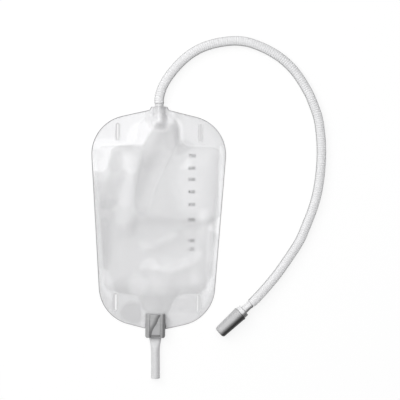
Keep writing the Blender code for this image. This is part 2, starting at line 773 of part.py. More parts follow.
def make_outlet_tube(parts, tube_plastic):
    """Soft tube, pinched flat under the lever and round again below it."""
    top_y = OUTLET_TUBE_TOP_Y
    places = stations([(0.0, FLAT_STEP), (top_y - SPIGOT_END_Y, RIB_HALF / 2),
                       (top_y - PINCH_Y - RIB_HALF, RIB_HALF),
                       (top_y - PINCH_Y + RIB_HALF, 2 * RIB_HALF),
                       (top_y - ROUND_AGAIN_Y, 2 * FLAT_STEP)], OUTLET_TUBE_LENGTH)
    bm = bmesh.new()
    outer = []
    inner = []
    for place in places:
        y = top_y - place
        half_width, half_height, middle_z = outlet_tube_shape(y)
        outer.append([bm.verts.new(point) for point in
                      tube_section(half_width, half_height, middle_z, y)])
        inner.append([bm.verts.new(point) for point in
                      tube_section(half_width - OUTLET_TUBE_WALL,
                                   half_height - OUTLET_TUBE_WALL, middle_z, y)])
    loops = outer + inner[::-1] + [outer[0]]
    for ring, following in zip(loops, loops[1:]):
        for k in range(len(ring)):
            bm.faces.new((ring[k - 1], ring[k], following[k], following[k - 1]))
    mesh = mesh_from(bm, "outlet_tube")
    new_object("outlet_tube", mesh, parts, tube_plastic)
    smooth(mesh)


def hinge_place():
    """The lever's hinge axis: y and z."""
    return CLAMP_TOP_Y - BARREL_RADIUS, CLAMP_HEIGHT - BARREL_RADIUS


def make_clamp_base(parts, cutters, clamp_plastic):
    """Channel round the outlet tube, with an anvil rib and two arms up to the hinge."""
    hinge_y, hinge_z = hinge_place()
    section = rounded([(OUTLET_X - CLAMP_HALF, 0.0, CLAMP_FLOOR / 2),
                       (OUTLET_X + CLAMP_HALF, 0.0, CLAMP_FLOOR / 2),
                       (OUTLET_X + CLAMP_HALF, CLAMP_HEIGHT, CLAMP_EDGE),
                       (OUTLET_X - CLAMP_HALF, CLAMP_HEIGHT, CLAMP_EDGE)])
    base = new_object("clamp_base", prism(section, CLAMP_END_Y, CLAMP_TOP_Y, "Y"),
                      parts, clamp_plastic)
    film_space = new_cutter("film_space", box(
        (OUTLET_X - 2 * CLAMP_HALF, NOTCH_Y - 2 * GAP, -BEYOND),
        (OUTLET_X + 2 * CLAMP_HALF, CLAMP_TOP_Y + BEYOND, ARM_UNDERSIDE_Z)), cutters)
    anvil_z = CLAMP_FLOOR + ANVIL
    channel = new_cutter("channel", prism([
        (CLAMP_TOP_Y + BEYOND, CLAMP_FLOOR), (CLAMP_TOP_Y + BEYOND, CHANNEL_TOP_Z),
        (CLAMP_END_Y - BEYOND, CHANNEL_TOP_Z), (CLAMP_END_Y - BEYOND, CLAMP_FLOOR),
        (PINCH_Y - RIB_HALF - ANVIL / 2, CLAMP_FLOOR), (PINCH_Y - RIB_HALF / 2, anvil_z),
        (PINCH_Y + RIB_HALF / 2, anvil_z), (PINCH_Y + RIB_HALF + ANVIL / 2, CLAMP_FLOOR),
    ], OUTLET_X - CHANNEL_HALF, OUTLET_X + CHANNEL_HALF, "X"), cutters)
    lever_slot = new_cutter("lever_slot", box(
        (OUTLET_X - LEVER_HALF - GAP, CLAMP_END_Y - BEYOND, CHANNEL_TOP_Z - BEYOND / 2),
        (OUTLET_X + LEVER_HALF + GAP, CLAMP_TOP_Y + BEYOND, CLAMP_HEIGHT + BEYOND)), cutters)
    pivots = new_cutter("pivot_holes", rod(
        (OUTLET_X - PIN_REACH - GAP, hinge_y, hinge_z),
        (OUTLET_X + PIN_REACH + GAP, hinge_y, hinge_z), PIN_RADIUS + PIN_CLEARANCE), cutters)
    for cutter in (film_space, channel, lever_slot, pivots):
        boolean(base, cutter, "DIFFERENCE")


def make_clamp_lever(parts, cutters, clamp_plastic):
    """Lever whose nose pinches the outlet tube against the anvil."""
    hinge_y, hinge_z = hinge_place()
    under = CLAMP_HEIGHT - LEVER_THICKNESS
    pinch_top = CLAMP_FLOOR + ANVIL + GAP + 2 * OUTLET_TUBE_WALL + PINCH_SLIT
    nose_z = pinch_top + GAP
    wall_y = CLAMP_END_Y + END_WALL
    side = rounded([
        (hinge_y - BARREL_RADIUS, CLAMP_HEIGHT, 0.0),
        (CLAMP_END_Y, CLAMP_HEIGHT, END_WALL / 2),
        (CLAMP_END_Y, END_WALL_FOOT_Z, END_WALL / 3),
        (wall_y, END_WALL_FOOT_Z, END_WALL / 3),
        (wall_y, under, END_WALL / 3),
        (PINCH_Y - RIB_HALF, under, 0.0),
        (PINCH_Y - RIB_HALF / 2, nose_z, RIB_HALF / 3),
        (PINCH_Y + RIB_HALF / 2, nose_z, RIB_HALF / 3),
        (PINCH_Y + RIB_HALF, under, 0.0),
        (hinge_y - BARREL_RADIUS, under, 0.0),
    ])
    low = OUTLET_X - LEVER_HALF
    high = OUTLET_X + LEVER_HALF
    hinge = Vector((OUTLET_X, hinge_y, hinge_z))
    mesh = prism(side, low, high, "X")
    mesh.transform(Matrix.Translation(-hinge))
    lever = new_object("clamp_lever", mesh, parts, clamp_plastic)
    lever.location = hinge
    barrel = new_cutter("hinge_barrel", rod((low, hinge_y, hinge_z), (high, hinge_y, hinge_z),
                                            BARREL_RADIUS), cutters)
    web = new_cutter("hinge_web", box(
        (low, hinge_y - HINGE_WEB, under), (high, hinge_y, CLAMP_HEIGHT)), cutters)
    pin = new_cutter("hinge_pin", rod(
        (OUTLET_X - PIN_REACH, hinge_y, hinge_z),
        (OUTLET_X + PIN_REACH, hinge_y, hinge_z), PIN_RADIUS), cutters)
    for piece in (web, barrel, pin):
        boolean(lever, piece, "UNION")


def main():
    clear_scene()
    parts = new_collection("urine_drainage_bag")
    cutters = new_collection("cutters")
    clear_film = new_material("clear_film", (0.86, 0.88, 0.89), 0.30, alpha=0.45)
    back_sheet = new_material("back_sheet", (0.88, 0.89, 0.90), 0.45, alpha=0.9)
    clear_plastic = new_material("clear_plastic", (0.84, 0.86, 0.87), 0.18, alpha=0.6)
    tube_plastic = new_material("tube_plastic", (0.78, 0.80, 0.81), 0.30, alpha=0.7)
    clamp_plastic = new_material("clamp_plastic", (0.26, 0.27, 0.28), 0.22)
    cap_plastic = new_material("cap_plastic", (0.30, 0.31, 0.32), 0.32)
    make_panels(parts, cutters, clear_film, back_sheet)
    make_valve(parts, cutters, clear_film)
    make_inlet_port(parts, cutters, clear_plastic)
    make_drainage_tube(parts, tube_plastic)
    make_connector(parts, clear_plastic)
    make_cap(parts, cap_plastic)
    make_outlet_port(parts, cutters, clear_plastic)
    make_outlet_tube(parts, tube_plastic)
    make_clamp_base(parts, cutters, clamp_plastic)
    make_clamp_lever(parts, cutters, clamp_plastic)


main()
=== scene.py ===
"""Leg-worn urine drainage bag, laid on its back and seen from straight above.

+X runs across the bag, +Y towards its inlet and +Z up out of the front film. Metres throughout.
"""

import math

import bmesh
import bpy
import numpy as np
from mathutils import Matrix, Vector
from mathutils.geometry import delaunay_2d_cdt


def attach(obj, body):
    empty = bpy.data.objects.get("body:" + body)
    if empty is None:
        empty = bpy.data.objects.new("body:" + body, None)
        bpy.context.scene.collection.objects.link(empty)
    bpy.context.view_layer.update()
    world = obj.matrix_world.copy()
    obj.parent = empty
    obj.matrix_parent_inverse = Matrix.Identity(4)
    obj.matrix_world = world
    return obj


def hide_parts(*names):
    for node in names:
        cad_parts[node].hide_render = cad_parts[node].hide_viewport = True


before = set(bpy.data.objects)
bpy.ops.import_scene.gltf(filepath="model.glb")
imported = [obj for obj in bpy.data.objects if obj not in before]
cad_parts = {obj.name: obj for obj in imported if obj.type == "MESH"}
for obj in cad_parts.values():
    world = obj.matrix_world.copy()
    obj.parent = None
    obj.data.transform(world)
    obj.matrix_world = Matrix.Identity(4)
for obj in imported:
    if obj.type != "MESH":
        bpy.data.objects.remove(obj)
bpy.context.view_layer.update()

# Camera: straight down, turned a little, with the photograph's scale
VIEW_CENTRE = (0.0488, 0.0484)
VIEW_WIDTH = 0.466
VIEW_TURN = 0.01355
CAMERA_HEIGHT = 1.6
SENSOR = 36.0

# Room: brighter towards the upper left, and how much of the floor's white doesn't take shadow
ROOM_BRIGHT_SIDE = (-0.45, 0.45, 0.77)
ROOM_LEVELS = (0.03, 0.85)
FLOOR_GLOW = 0.80
FLOOR_HALF = 4.0
FLOOR_Z = -0.0002

# Lamps: name, place, size and power
LAMPS = (("soft_top", (-0.12, 0.20, 1.45), 1.3, 12.5),
         ("soft_left", (-0.90, 0.80, 1.10), 0.6, 5.5))

# Films
FILM = 0.0004
VALVE_FILM = 0.0003
GAP = 0.0003
SADDLE_MARGIN = 0.0009
SADDLE_STEPS = 33
FILM_SPACING = 0.0015
WELD_RIDGE = 0.00016
WELD_LINE = 0.0007
WELD_BEAD = 0.00032
BEAD_SPACING = 0.0008
VALVE_SEAM = 0.00022
SEAM_SPACING = 0.0015
SEAM_INSET = 0.985
VALVE_SPACING = 0.0018
VALVE_RIM_SPACING = 0.002

# Bag outline and the weld line of its chamber: corners as (x, y, radius), right half
TAB_TOP_Y = 0.1561
TAB_BASE_Y = 0.1522
BOTTOM_Y = -0.1034
CHEST_Y = 0.1105
CLAMP_HALF = 0.0115
BAG_CORNERS = (
    (0.0090, TAB_TOP_Y, 0.0010),
    (0.0110, TAB_BASE_Y, 0.0010),
    (0.0805, 0.1358, 0.045),
    (0.0650, -0.0890, 0.045),
    (CLAMP_HALF / 2, BOTTOM_Y, 0.0),
)
CHAMBER_CORNERS = (
    (0.0125, 0.1490, 0.0),
    (0.0250, 0.1340, 0.0),
    (0.0255, CHEST_Y, 0.012),
    (0.0738, CHEST_Y, 0.012),
    (0.0612, -0.0590, 0.012),
    (0.0220, -0.0640, 0.012),
    (0.0105, -0.0905, 0.0),
)
SLOT_WIDTH = 0.0050
SLOT_LENGTH = 0.0205
SLOT_PLACES = ((0.0482, 0.1267), (-0.0482, 0.1267), (0.0489, -0.0717), (-0.0489, -0.0717))

# Soft lips that nearly close each slot: the slit's place across the slot and its width
SLITS = ((-0.0016, 0.0005), (0.0001, 0.0013), (-0.0012, 0.0010), (0.0013, 0.0015))
SLIT_SHORTER = 0.0024
LIP = 0.0003

# Front film's rise over the chamber
PILLOW = 0.0095
RISE_RUN = 0.030
NARROWING = 0.35
NARROWING_TOP_Y = -0.050
NARROWING_END_Y = -0.084
LEAST_DEPTH = 0.0022
LEAST_SLOPE = 0.45
WELD_EASE = 0.0035
PUCKER = 0.00012
PUCKER_REACH = 0.012
PUCKER_START = 0.003
PUCKER_WAVES = ((60, 420), (370, 90))
MELD = 4

# Folds of the front film: start, end, half width, height (down is negative)
FOLDS = (
    ((-0.028, 0.095), (-0.040, 0.015), 0.010, 0.0028),
    ((-0.049, 0.085), (-0.058, 0.040), 0.008, -0.0022),
    ((-0.060, 0.030), (-0.057, -0.032), 0.007, -0.0020),
    ((0.010, 0.122), (-0.016, 0.050), 0.013, -0.0034),
    ((-0.020, 0.016), (0.050, 0.018), 0.009, -0.0020),
    ((-0.008, -0.006), (0.022, 0.007), 0.007, 0.0016),
    ((0.004, -0.032), (0.048, -0.012), 0.008, 0.0024),
    ((-0.016, -0.028), (-0.002, -0.027), 0.007, 0.0016),
    ((-0.022, -0.042), (-0.016, -0.062), 0.008, 0.0018),
    ((0.028, -0.042), (0.056, -0.034), 0.010, -0.0016),
    ((-0.008, -0.062), (-0.006, -0.084), 0.008, -0.0012),
    ((0.056, 0.024), (0.064, 0.008), 0.006, 0.0012),
)

# Sharp creases between the folds: start, end, half width, height
CREASES = (
    ((-0.020, 0.118), (-0.032, 0.060), 0.0030, 0.00045),
    ((-0.054, 0.098), (-0.066, 0.045), 0.0026, 0.00040),
    ((-0.040, 0.072), (-0.047, 0.040), 0.0022, -0.00030),
    ((0.024, 0.100), (0.036, 0.082), 0.0024, 0.00040),
    ((0.012, 0.094), (0.002, 0.060), 0.0026, 0.00035),
    ((-0.026, 0.036), (-0.030, 0.008), 0.0024, 0.00035),
    ((-0.012, -0.010), (0.020, 0.010), 0.0022, 0.00035),
    ((0.050, 0.024), (0.066, 0.006), 0.0022, 0.00040),
    ((-0.004, -0.036), (0.040, -0.018), 0.0026, 0.00040),
    ((0.046, -0.014), (0.062, -0.032), 0.0024, 0.00030),
    ((-0.036, -0.040), (-0.014, -0.070), 0.0024, 0.00035),
    ((0.014, -0.050), (0.006, -0.080), 0.0022, 0.00030),
    ((-0.060, -0.020), (-0.048, -0.050), 0.0024, 0.00030),
    ((0.060, 0.060), (0.068, 0.100), 0.0024, 0.00030),
)

# Painted shade and painted highlights on the films: dark where the front film clings to what lies
# behind it or a fold falls in shade, pale where it stands clear and shines; a soft outline and its
# soft edge in millimetres, and a strength (dark is positive)
CLING_AND_PAINTED_LIGHT = (
    (((-3, 137), (-12, 123), (-18, 112), (-25, 111), (-45, 111), (-54, 107), (-57, 98), (-62, 82),
      (-73, 81), (-95, 86), (-90, 140), (-40, 165), (-9, 158)), 3, -0.80),
    (((-80, 107), (-66, 105), (-64, 96), (-80, 92)), 12, 0.45),
    (((-30, 134), (-12, 136), (-17, 116), (-36, 115)), 10, -0.4),
    (((-3, 136), (19, 136), (22, 128), (20, 112), (11, 93), (-3, 64), (-14, 31), (-24, 32),
      (-27, 52), (-23, 84), (-18, 109), (-12, 122)), 4, 0.50),
    (((-11, 105), (3, 104), (5, 92), (-3, 83), (-20, 85), (-16, 97)), 12, 0.25),
    (((-53, 101), (-43, 101), (-43, 84), (-57, 81)), 5, 0.40),
    (((-54, 80), (-37, 81), (-47, 56), (-48, 44), (-53, 37), (-50, 30), (-53, 9), (-54, -17),
      (-59, -33), (-64, -10), (-67, 26), (-69, 39), (-62, 62)), 8, 0.54),
    (((-67, 38), (-64, 47), (-48, 47), (-54, 36)), 4, 0.30),
    (((-66, 22), (-57, 20), (-58, -28), (-62, -26)), 5, 0.30),
    (((-44, 100), (-22, 105), (-26, 79), (-44, 85)), 9, -0.42),
    (((-38, 79), (-27, 78), (-26, 38), (-28, 22), (-48, 21), (-51, 37), (-44, 56)), 9, -0.24),
    (((-27, 30), (-4, 31), (34, 23), (67, 27), (52, 15), (12, 11), (-4, 3), (-28, 3),
      (-31, 13)), 9, 0.38),
    (((28, 25), (49, 26), (45, 17), (29, 17)), 5, 0.10),
    (((57, 17), (68, 27), (73, 28), (71, 11), (62, 13)), 6, -0.45),
    (((-21, 0), (-5, -2), (16, 10), (21, 6), (-2, -10), (-18, -10)), 10, -0.32),
    (((-19, -28), (-9, -19), (1, -27), (-1, -33), (-18, -33)), 6, -0.55),
    (((1, -32), (20, -26), (46, -11), (52, -15), (43, -25), (15, -36)), 9, -0.65),
    (((-33, -47), (-21, -40), (-10, -47), (-14, -60), (-29, -62)), 10, -0.45),
    (((17, -39), (45, -26), (60, -22), (66, -27), (57, -51), (46, -59), (28, -63), (7, -50)),
     9, 0.15),
    (((47, 30), (58, 30), (58, -40), (50, -52), (40, -46), (45, -10)), 12, -0.42),
    (((58, 14), (65, 12), (64, -48), (57, -52)), 5, -0.50),
    (((28, -57), (54, -53), (57, -59), (28, -65)), 6, -0.30),
    (((-78, 113), (-40, 113), (-34, 78), (-78, 72)), 10, -0.35),
    (((-50, 80), (-30, 80), (-30, 44), (-46, 42)), 10, -0.25),
    (((0, 160), (16, 158), (16, 137), (0, 137)), 5, -0.65),
    (((-7, 139), (11, 139), (9, 128), (-6, 129)), 5, -0.75),
    (((9, 136), (19, 136), (21, 112), (8, 108)), 5, 0.36),
    (((20, 143), (27, 137), (28, 115), (23, 115), (22, 132)), 4, -0.45),
    (((-2, -24), (40, -22), (42, -54), (-4, -60)), 12, -0.26),
    (((-16, 160), (-2, 160), (-2, 134), (-14, 134)), 4, 0.35),
    (((-21, -68), (-8, -62), (5, -65), (8, -82), (-13, -84)), 8, 0.30),
    (((-40, -80), (-33, -73), (-21, -74), (-18, -84), (-20, -94), (-31, -95), (-41, -88)),
     10, 1.45),
    (((-33, -79), (-20, -77), (-19, -92), (-30, -91)), 5, 0.35),
    (((26, 118), (41, 113), (32, 104), (20, 101)), 5, 0.32),
    (((33, 97), (38, 93), (35, 85), (26, 85)), 6, -0.35),
    (((72, 112), (76, 90), (72, 28), (70, 72), (70, 97)), 3, -0.55),
    (((69, 22), (73, 22), (68, -36), (65, -36)), 2, -0.75),
    (((-68, -36), (-57, -37), (-48, -62), (-53, -70), (-63, -58)), 6, -0.35),
    (((53, -59), (64, -41), (67, -51), (54, -77)), 5, -0.50),
    (((10, -84), (21, -82), (47, -84), (43, -93), (21, -99), (10, -99)), 6, -0.25),
    (((-19, -78), (-12, -85), (-12, -101), (-18, -100)), 3, -0.35),
    (((25, 147), (47, 146), (71, 120), (75, 90), (72, 32), (34, 31), (19, 64), (26, 105)),
     22, -0.44),
)
MILLIMETRE = 0.001
ROUNDING = 5

# Inlet port, valve, outlet
INLET_AXIS_Z = 0.0059
INLET_BORE = 0.0030
INLET_STUB = 0.0040
INLET_SADDLE_Y = TAB_TOP_Y - 0.0086
INLET_STUB_END_Y = INLET_SADDLE_Y - 0.0080
INLET_COLLAR = 0.0052
INLET_COLLAR_LENGTH = 0.0032
INLET_MOUTH_Y = TAB_TOP_Y + INLET_COLLAR_LENGTH
INLET_SADDLE_HALF = 0.0070
INLET_WALL = 0.0017
INLET_DRAPE = 0.016
INLET_BEVEL = 0.00025
VALVE_TOP_Y = INLET_SADDLE_Y - 2 * GAP
VALVE_TOP_HALF = 0.0105
VALVE_SLEEVE_HALF = 0.0090
VALVE_DRAPE = 0.011
VALVE_RIGHT = ((0.0215, 0.0139), (0.0215, 0.0279), (0.0070, 0.0629), (-0.0035, 0.0869),
               (-0.0095, 0.1079))
VALVE_LEFT = ((-0.0085, 0.0139), (-0.0125, 0.0279), (-0.0200, 0.0639), (-0.0268, 0.0979),
              (-0.0245, 0.1079))
OUTLET_X = -0.0010
OUTLET_AXIS_Z = 0.0064
OUTLET_BORE = 0.0022
OUTLET_SADDLE_END_Y = -0.0915
OUTLET_SADDLE_HALF = 0.0095
OUTLET_WALL = 0.0010
OUTLET_DRAPE = 0.006
OUTLET_BEVEL = 0.0002
NOTCH_Y = -0.0963
SPIGOT_END_Y = -0.1034
OUTLET_TUBE = 0.0051
OUTLET_TUBE_WALL = 0.0015
OUTLET_TUBE_TOP_Y = -0.0965
OUTLET_TUBE_END_Y = -0.1593
PINCH_Y = -0.1076
PINCH_HALF_WIDTH = 0.0072
PINCH_SLIT = 0.0004
ROUND_AGAIN_Y = -0.1265
SPIGOT_WALL = 0.0011
CUT_EDGE = 0.0005
OUTLET_LEAN = 0.019
OUTLET_SIDES = 48
OUTLET_RINGS = 90
CUT_STEPS = 5

# Clamp
CLAMP_TOP_Y = -0.0842
CLAMP_END_Y = -0.1118
CLAMP_HEIGHT = 0.0132
CLAMP_FLOOR = 0.0010
CLAMP_EDGE = 0.0040
CLAMP_CORNER = 0.0024
CHANNEL_HALF = 0.0077
CHANNEL_TOP_Z = 0.0102
ARM_UNDERSIDE_Z = 0.0070
ANVIL = 0.0012
RIB_HALF = 0.0012
LEVER_HALF = 0.0066
LEVER_THICKNESS = 0.0014
BARREL = 0.0024
PIN = 0.0013
HINGE_Y = CLAMP_TOP_Y - BARREL
HINGE_Z = CLAMP_HEIGHT - BARREL
PIN_REACH = 0.0094
END_WALL = 0.0012
END_WALL_FOOT_Z = 0.0078
CLAMP_BEVEL = 0.0003
CONNECTOR_SHADE_HALF = 0.0058

# Thumb pad: a swept step across the lever, the pad's rise and its soft edge; the clamp's lower
# band of painted shadow
PAD_STEP = 0.00006
PAD_RISE = 0.00026
PAD_EDGE = 0.0010
PAD_INSET = 0.0005
PAD_COLUMNS = 40
PAD_ROWS = 80
BAND_PLACE = 0.0026
BAND_HALF = 0.0011

# Drainage tube: its route from the inlet's mouth, as in the part
TUBE_DIAMETER = 0.0112
ROUTE = (
    (0.0000, 0.1596, 0.0059), (0.0000, 0.1660, 0.0058), (0.0013, 0.1722, 0.0057),
    (0.0039, 0.1798, 0.0057), (0.0091, 0.1892, 0.0057), (0.0168, 0.1996, 0.0057),
    (0.0258, 0.2095, 0.0057), (0.0362, 0.2182, 0.0057), (0.0478, 0.2249, 0.0057),
    (0.0604, 0.2295, 0.0057), (0.0736, 0.2324, 0.0057), (0.0871, 0.2337, 0.0057),
    (0.1005, 0.2325, 0.0057), (0.1136, 0.2286, 0.0057), (0.1259, 0.2232, 0.0057),
    (0.1375, 0.2165, 0.0057), (0.1479, 0.2083, 0.0057), (0.1569, 0.1990, 0.0057),
    (0.1644, 0.1888, 0.0057), (0.1709, 0.1782, 0.0057), (0.1762, 0.1678, 0.0057),
    (0.1842, 0.1465, 0.0057), (0.1877, 0.1256, 0.0057), (0.1889, 0.1064, 0.0057),
    (0.1884, 0.0882, 0.0057), (0.1867, 0.0709, 0.0057), (0.1837, 0.0541, 0.0057),
    (0.1790, 0.0377, 0.0057), (0.1728, 0.0213, 0.0057), (0.1655, 0.0036, 0.0058),
    (0.1552, -0.0134, 0.0060), (0.1424, -0.0324, 0.0065), (0.1349, -0.0423, 0.0071),
    (0.1233, -0.0562, 0.0080), (0.1148, -0.0655, 0.0085), (0.1099, -0.0704, 0.0086),
)
RING_PITCH = 0.0026
RING_STEPS = 7
RING_DEPTH = 0.00048
RING_FULLNESS = 0.7
CUFF_DEPTH = 0.00035
TUBE_SIDES = 28
INLET_CUFF = 0.0010
CONNECTOR_CUFF = 0.0035
MID_CUFF_PLACE = (0.1886, 0.0895)
MID_CUFF = 0.0018
CUFF_EDGE = 0.0008
MID_CUFF_EDGE = 0.0006
ROUTE_STEPS = 24

# Connector and cap, along the connector's axis from the tube's end
PLUG_HEADING = (-0.7254, -0.6883, 0.0)
NECK = 0.0048
NECK_LENGTH = 0.0115
FLANGE = 0.0075
FLANGE_THICKNESS = 0.0048
CONE_ROOT = 0.0062
CONE_TIP = 0.0042
CONE_LENGTH = 0.0275
CONE_STEPS = 4
CONE_STEP_DEPTH = 0.0005
PLUG_BORE = 0.0026
CAP_LENGTH = 0.0338
CAP_MOUTH = 0.0082
CAP_TIP = 0.0070
CAP_EDGE = 0.0028
CAP_WALL = 0.0012
CAP_RIM = 0.0022
CAP_RIM_PROUD = 0.00025

# Volume scale: number and the height on the bag where it stands
SCALE_X = 0.0390
SCALE_MARKS = (("750", 0.0993), ("600", 0.0850), ("500", 0.0719), ("400", 0.0575),
               ("300", 0.0428), ("200", 0.0252), ("100", 0.0011), ("–25", -0.0088))
NUMBER_HEIGHT = 0.0039
DIGIT_SHARE = 0.70
NUMBER_SPACING = 1.02
INK_THICKNESS = 0.00004
INK_SPREAD = -0.00002
INK_LIFT = 0.00022

# Modelling: arc steps, turns and distances too small to count, and how far cutters reach past
ARC_STEP = math.radians(6)
LEAST_TURN = 0.01
ALMOST = 0.999
SAME_PLACE = 1e-7
ON_AXIS = 1e-6
PAST = 0.005
EDGE_SEGMENTS = 3
BEVEL_ANGLE = math.radians(30)
UP = np.array((0.0, 0.0, 1.0))


# Shapes

def smoothstep(value):
    """0 below 0, 1 above 1, and a soft rise between."""
    value = np.clip(value, 0.0, 1.0)
    return value * value * (3.0 - 2.0 * value)


def ramp(value, start, run):
    """0 up to the start, then a soft rise to 1 over the run."""
    return smoothstep((value - start) / run)


def sides_of(outline):
    """The sides of a closed outline, each as its start and end."""
    return zip(outline, outline[1:] + outline[:1])


def rounded(corners):
    """Closed outline through corners (x, y, radius), each rounded by an arc."""
    points = []
    for i, (x, y, radius) in enumerate(corners):
        corner = Vector((x, y))
        before = Vector(corners[i - 1][:2]) - corner
        after = Vector(corners[(i + 1) % len(corners)][:2]) - corner
        turn = math.pi - before.angle(after)
        if radius <= 0.0 or turn < LEAST_TURN:
            points.append(corner)
            continue
        inward = (before.normalized() + after.normalized()).normalized()
        centre = corner + inward * radius / math.cos(turn / 2)
        start = corner + before.normalized() * radius * math.tan(turn / 2) - centre
        side = 1.0 if before.cross(after) < 0 else -1.0
        steps = max(2, round(turn / ARC_STEP))
        for step in range(steps + 1):
            cos, sin = math.cos(turn * step / steps), side * math.sin(turn * step / steps)
            points.append(centre + Vector((start.x * cos - start.y * sin,
                                           start.x * sin + start.y * cos)))
    return points


def mirrored(corners):
    """Corners of the right half, top to bottom, and their mirror images back up."""
    return list(corners) + [(-x, y, radius) for x, y, radius in reversed(corners)]


def spread(outline, spacing):
    """The closed outline with points no further apart than the spacing."""
    points = []
    for start, end in sides_of(outline):
        count = max(1, math.ceil((end - start).length / spacing))
        points += [start.lerp(end, k / count) for k in range(count)]
    return points


def to_segment(x, y, start, end):
    """Distance from points to a segment."""
    run = np.subtract(end, start)
    along = ((x - start[0]) * run[0] + (y - start[1]) * run[1]) / (run @ run)
    along = np.clip(along, 0.0, 1.0)
    return np.hypot(x - start[0] - along * run[0], y - start[1] - along * run[1])


def depth_in(x, y, outline):
    """How far points lie inside a closed outline; negative outside it."""
    inside = np.zeros(x.shape, bool)
    nearest = np.full(x.shape, np.inf)
    for i, end in enumerate(outline):
        start = outline[i - 1]
        nearest = np.minimum(nearest, to_segment(x, y, start, end))
        if start[1] != end[1]:
            crossing = start[0] + (y - start[1]) / (end[1] - start[1]) * (end[0] - start[0])
            inside ^= ((start[1] > y) != (end[1] > y)) & (x < crossing)
    return np.where(inside, nearest, -nearest)


def curve_through(before, start, end, beyond, share):
    """Smooth curve from start to end that agrees with the points before and beyond."""
    return 0.5 * (2 * start + (end - before) * share
                  + (2 * before - 5 * start + 4 * end - beyond) * share ** 2
                  + (3 * start - before - 3 * end + beyond) * share ** 3)


def soft_outline(corners):
    """Closed smooth curve through a few corners."""
    knots = [np.roll(np.array(corners, float), shift, axis=0) for shift in (1, 0, -1, -2)]
    share = (np.arange(ROUNDING) / ROUNDING)[:, None, None]
    return curve_through(*knots, share).swapaxes(0, 1).reshape(-1, 2)


def slot_outline(x, y, width, length):
    """Slot with round ends."""
    return rounded([(x + a * width / 2, y + b * length / 2, width / 2 * ALMOST)
                    for a, b in ((-1, -1), (1, -1), (1, 1), (-1, 1))])


def notched(outline):
    """The bag's outline with the notch that the clamp sits in."""
    left = OUTLET_X - CLAMP_HALF - GAP
    right = OUTLET_X + CLAMP_HALF + GAP
    points = []
    for start, end in sides_of(outline):
        low = max(start.y, end.y) < NOTCH_Y
        if not (low and left < start.x < right):
            points.append(start)
        for edge, into in ((right, True), (left, False)):
            if low and (start.x - edge) * (end.x - edge) < 0.0:
                crossing = start.lerp(end, (edge - start.x) / (end.x - start.x))
                corner = Vector((edge, NOTCH_Y))
                points += [crossing, corner] if into else [corner, crossing]
    return points


bag_outline = notched(rounded(mirrored(BAG_CORNERS)))
chamber_outline = rounded(mirrored(CHAMBER_CORNERS))
slot_outlines = [slot_outline(x, y, SLOT_WIDTH, SLOT_LENGTH) for x, y in SLOT_PLACES]
valve_outline = [Vector((x, VALVE_TOP_Y - drop)) for x, drop in
                 ((VALVE_TOP_HALF, 0.0), *VALVE_RIGHT, *reversed(VALVE_LEFT),
                  (-VALVE_TOP_HALF, 0.0))]


# Heights of the films, each to the middle of its thickness

def level(height):
    """Height of a film that lies flat."""
    return lambda x, y: np.full(x.shape, height)


def arch(x, middle, half, height):
    """Rounded rise across a port."""
    return height * np.maximum(0.0, 1.0 - ((x - middle) / half) ** 2)


def over_inlet(x, y):
    """The front film's rise over the inlet port and the valve wrapped round it."""
    height = INLET_AXIS_Z + INLET_BORE + INLET_WALL - FILM
    lean = ramp(y, INLET_SADDLE_Y, TAB_BASE_Y - INLET_SADDLE_Y)
    wide = VALVE_SLEEVE_HALF + SADDLE_MARGIN
    half = wide + (INLET_SADDLE_HALF + SADDLE_MARGIN - wide) * lean
    return arch(x, 0.0, half, height) * smoothstep(1.0 - (INLET_STUB_END_Y - y) / INLET_DRAPE)


def over_outlet(x, y):
    """The front film's rise over the outlet port."""
    height = OUTLET_AXIS_Z + OUTLET_BORE + OUTLET_WALL - FILM
    fade = smoothstep(1.0 - (y - OUTLET_SADDLE_END_Y) / OUTLET_DRAPE)
    return arch(x, OUTLET_X, OUTLET_SADDLE_HALF + SADDLE_MARGIN, height) * fade


def pillow(x, y):
    """The front film's rise over the chamber, with its folds, creases and puckers."""
    depth = np.maximum(depth_in(x, y, chamber_outline), 0.0)
    inward = np.minimum(depth / RISE_RUN, 1.0)
    rise = np.sqrt(1.0 - (1.0 - inward) ** 2) * (1.0 - np.exp(-depth / WELD_EASE))
    fall = (NARROWING_TOP_Y - y) / (NARROWING_TOP_Y - NARROWING_END_Y)
    narrow = 1.0 - (1.0 - NARROWING) * smoothstep(fall)
    folds = np.zeros(x.shape)
    for lines, power in ((FOLDS, 2), (CREASES, 1)):
        for start, end, half, height in lines:
            folds += height * np.exp(-(to_segment(x, y, start, end) / half) ** power)
    puckers = PUCKER * math.prod(np.sin(a * x + b * y) for a, b in PUCKER_WAVES)
    folds += puckers * np.exp(-depth / PUCKER_REACH) * np.minimum(depth / PUCKER_START, 1.0)
    least = np.minimum(LEAST_DEPTH, depth * LEAST_SLOPE)
    height = np.maximum(least, (PILLOW * rise + folds * smoothstep(inward * 2)) * narrow)
    return np.where(depth > 0.0, height, 0.0)


def front_height(x, y):
    """Front film: the chamber and both ports, melded where they meet."""
    rises = (pillow(x, y), over_inlet(x, y), over_outlet(x, y))
    return FILM + GAP + FILM / 2 + sum(height ** MELD for height in rises) ** (1 / MELD)


def back_height(x, y):
    """Back film: flat, with the weld's line pressed into it."""
    line = depth_in(x, y, chamber_outline)
    return FILM / 2 + WELD_RIDGE * np.exp(-(line / WELD_LINE) ** 2)


def valve_height(x, y):
    """The valve's front film, wrapped over the inlet stub at its top."""
    flat = FILM + GAP + VALVE_FILM + GAP
    over = INLET_AXIS_Z + INLET_STUB + GAP - flat
    fade = smoothstep(1.0 - (INLET_STUB_END_Y - y) / VALVE_DRAPE)
    return flat + VALVE_FILM / 2 + arch(x, 0.0, VALVE_SLEEVE_HALF, over) * fade
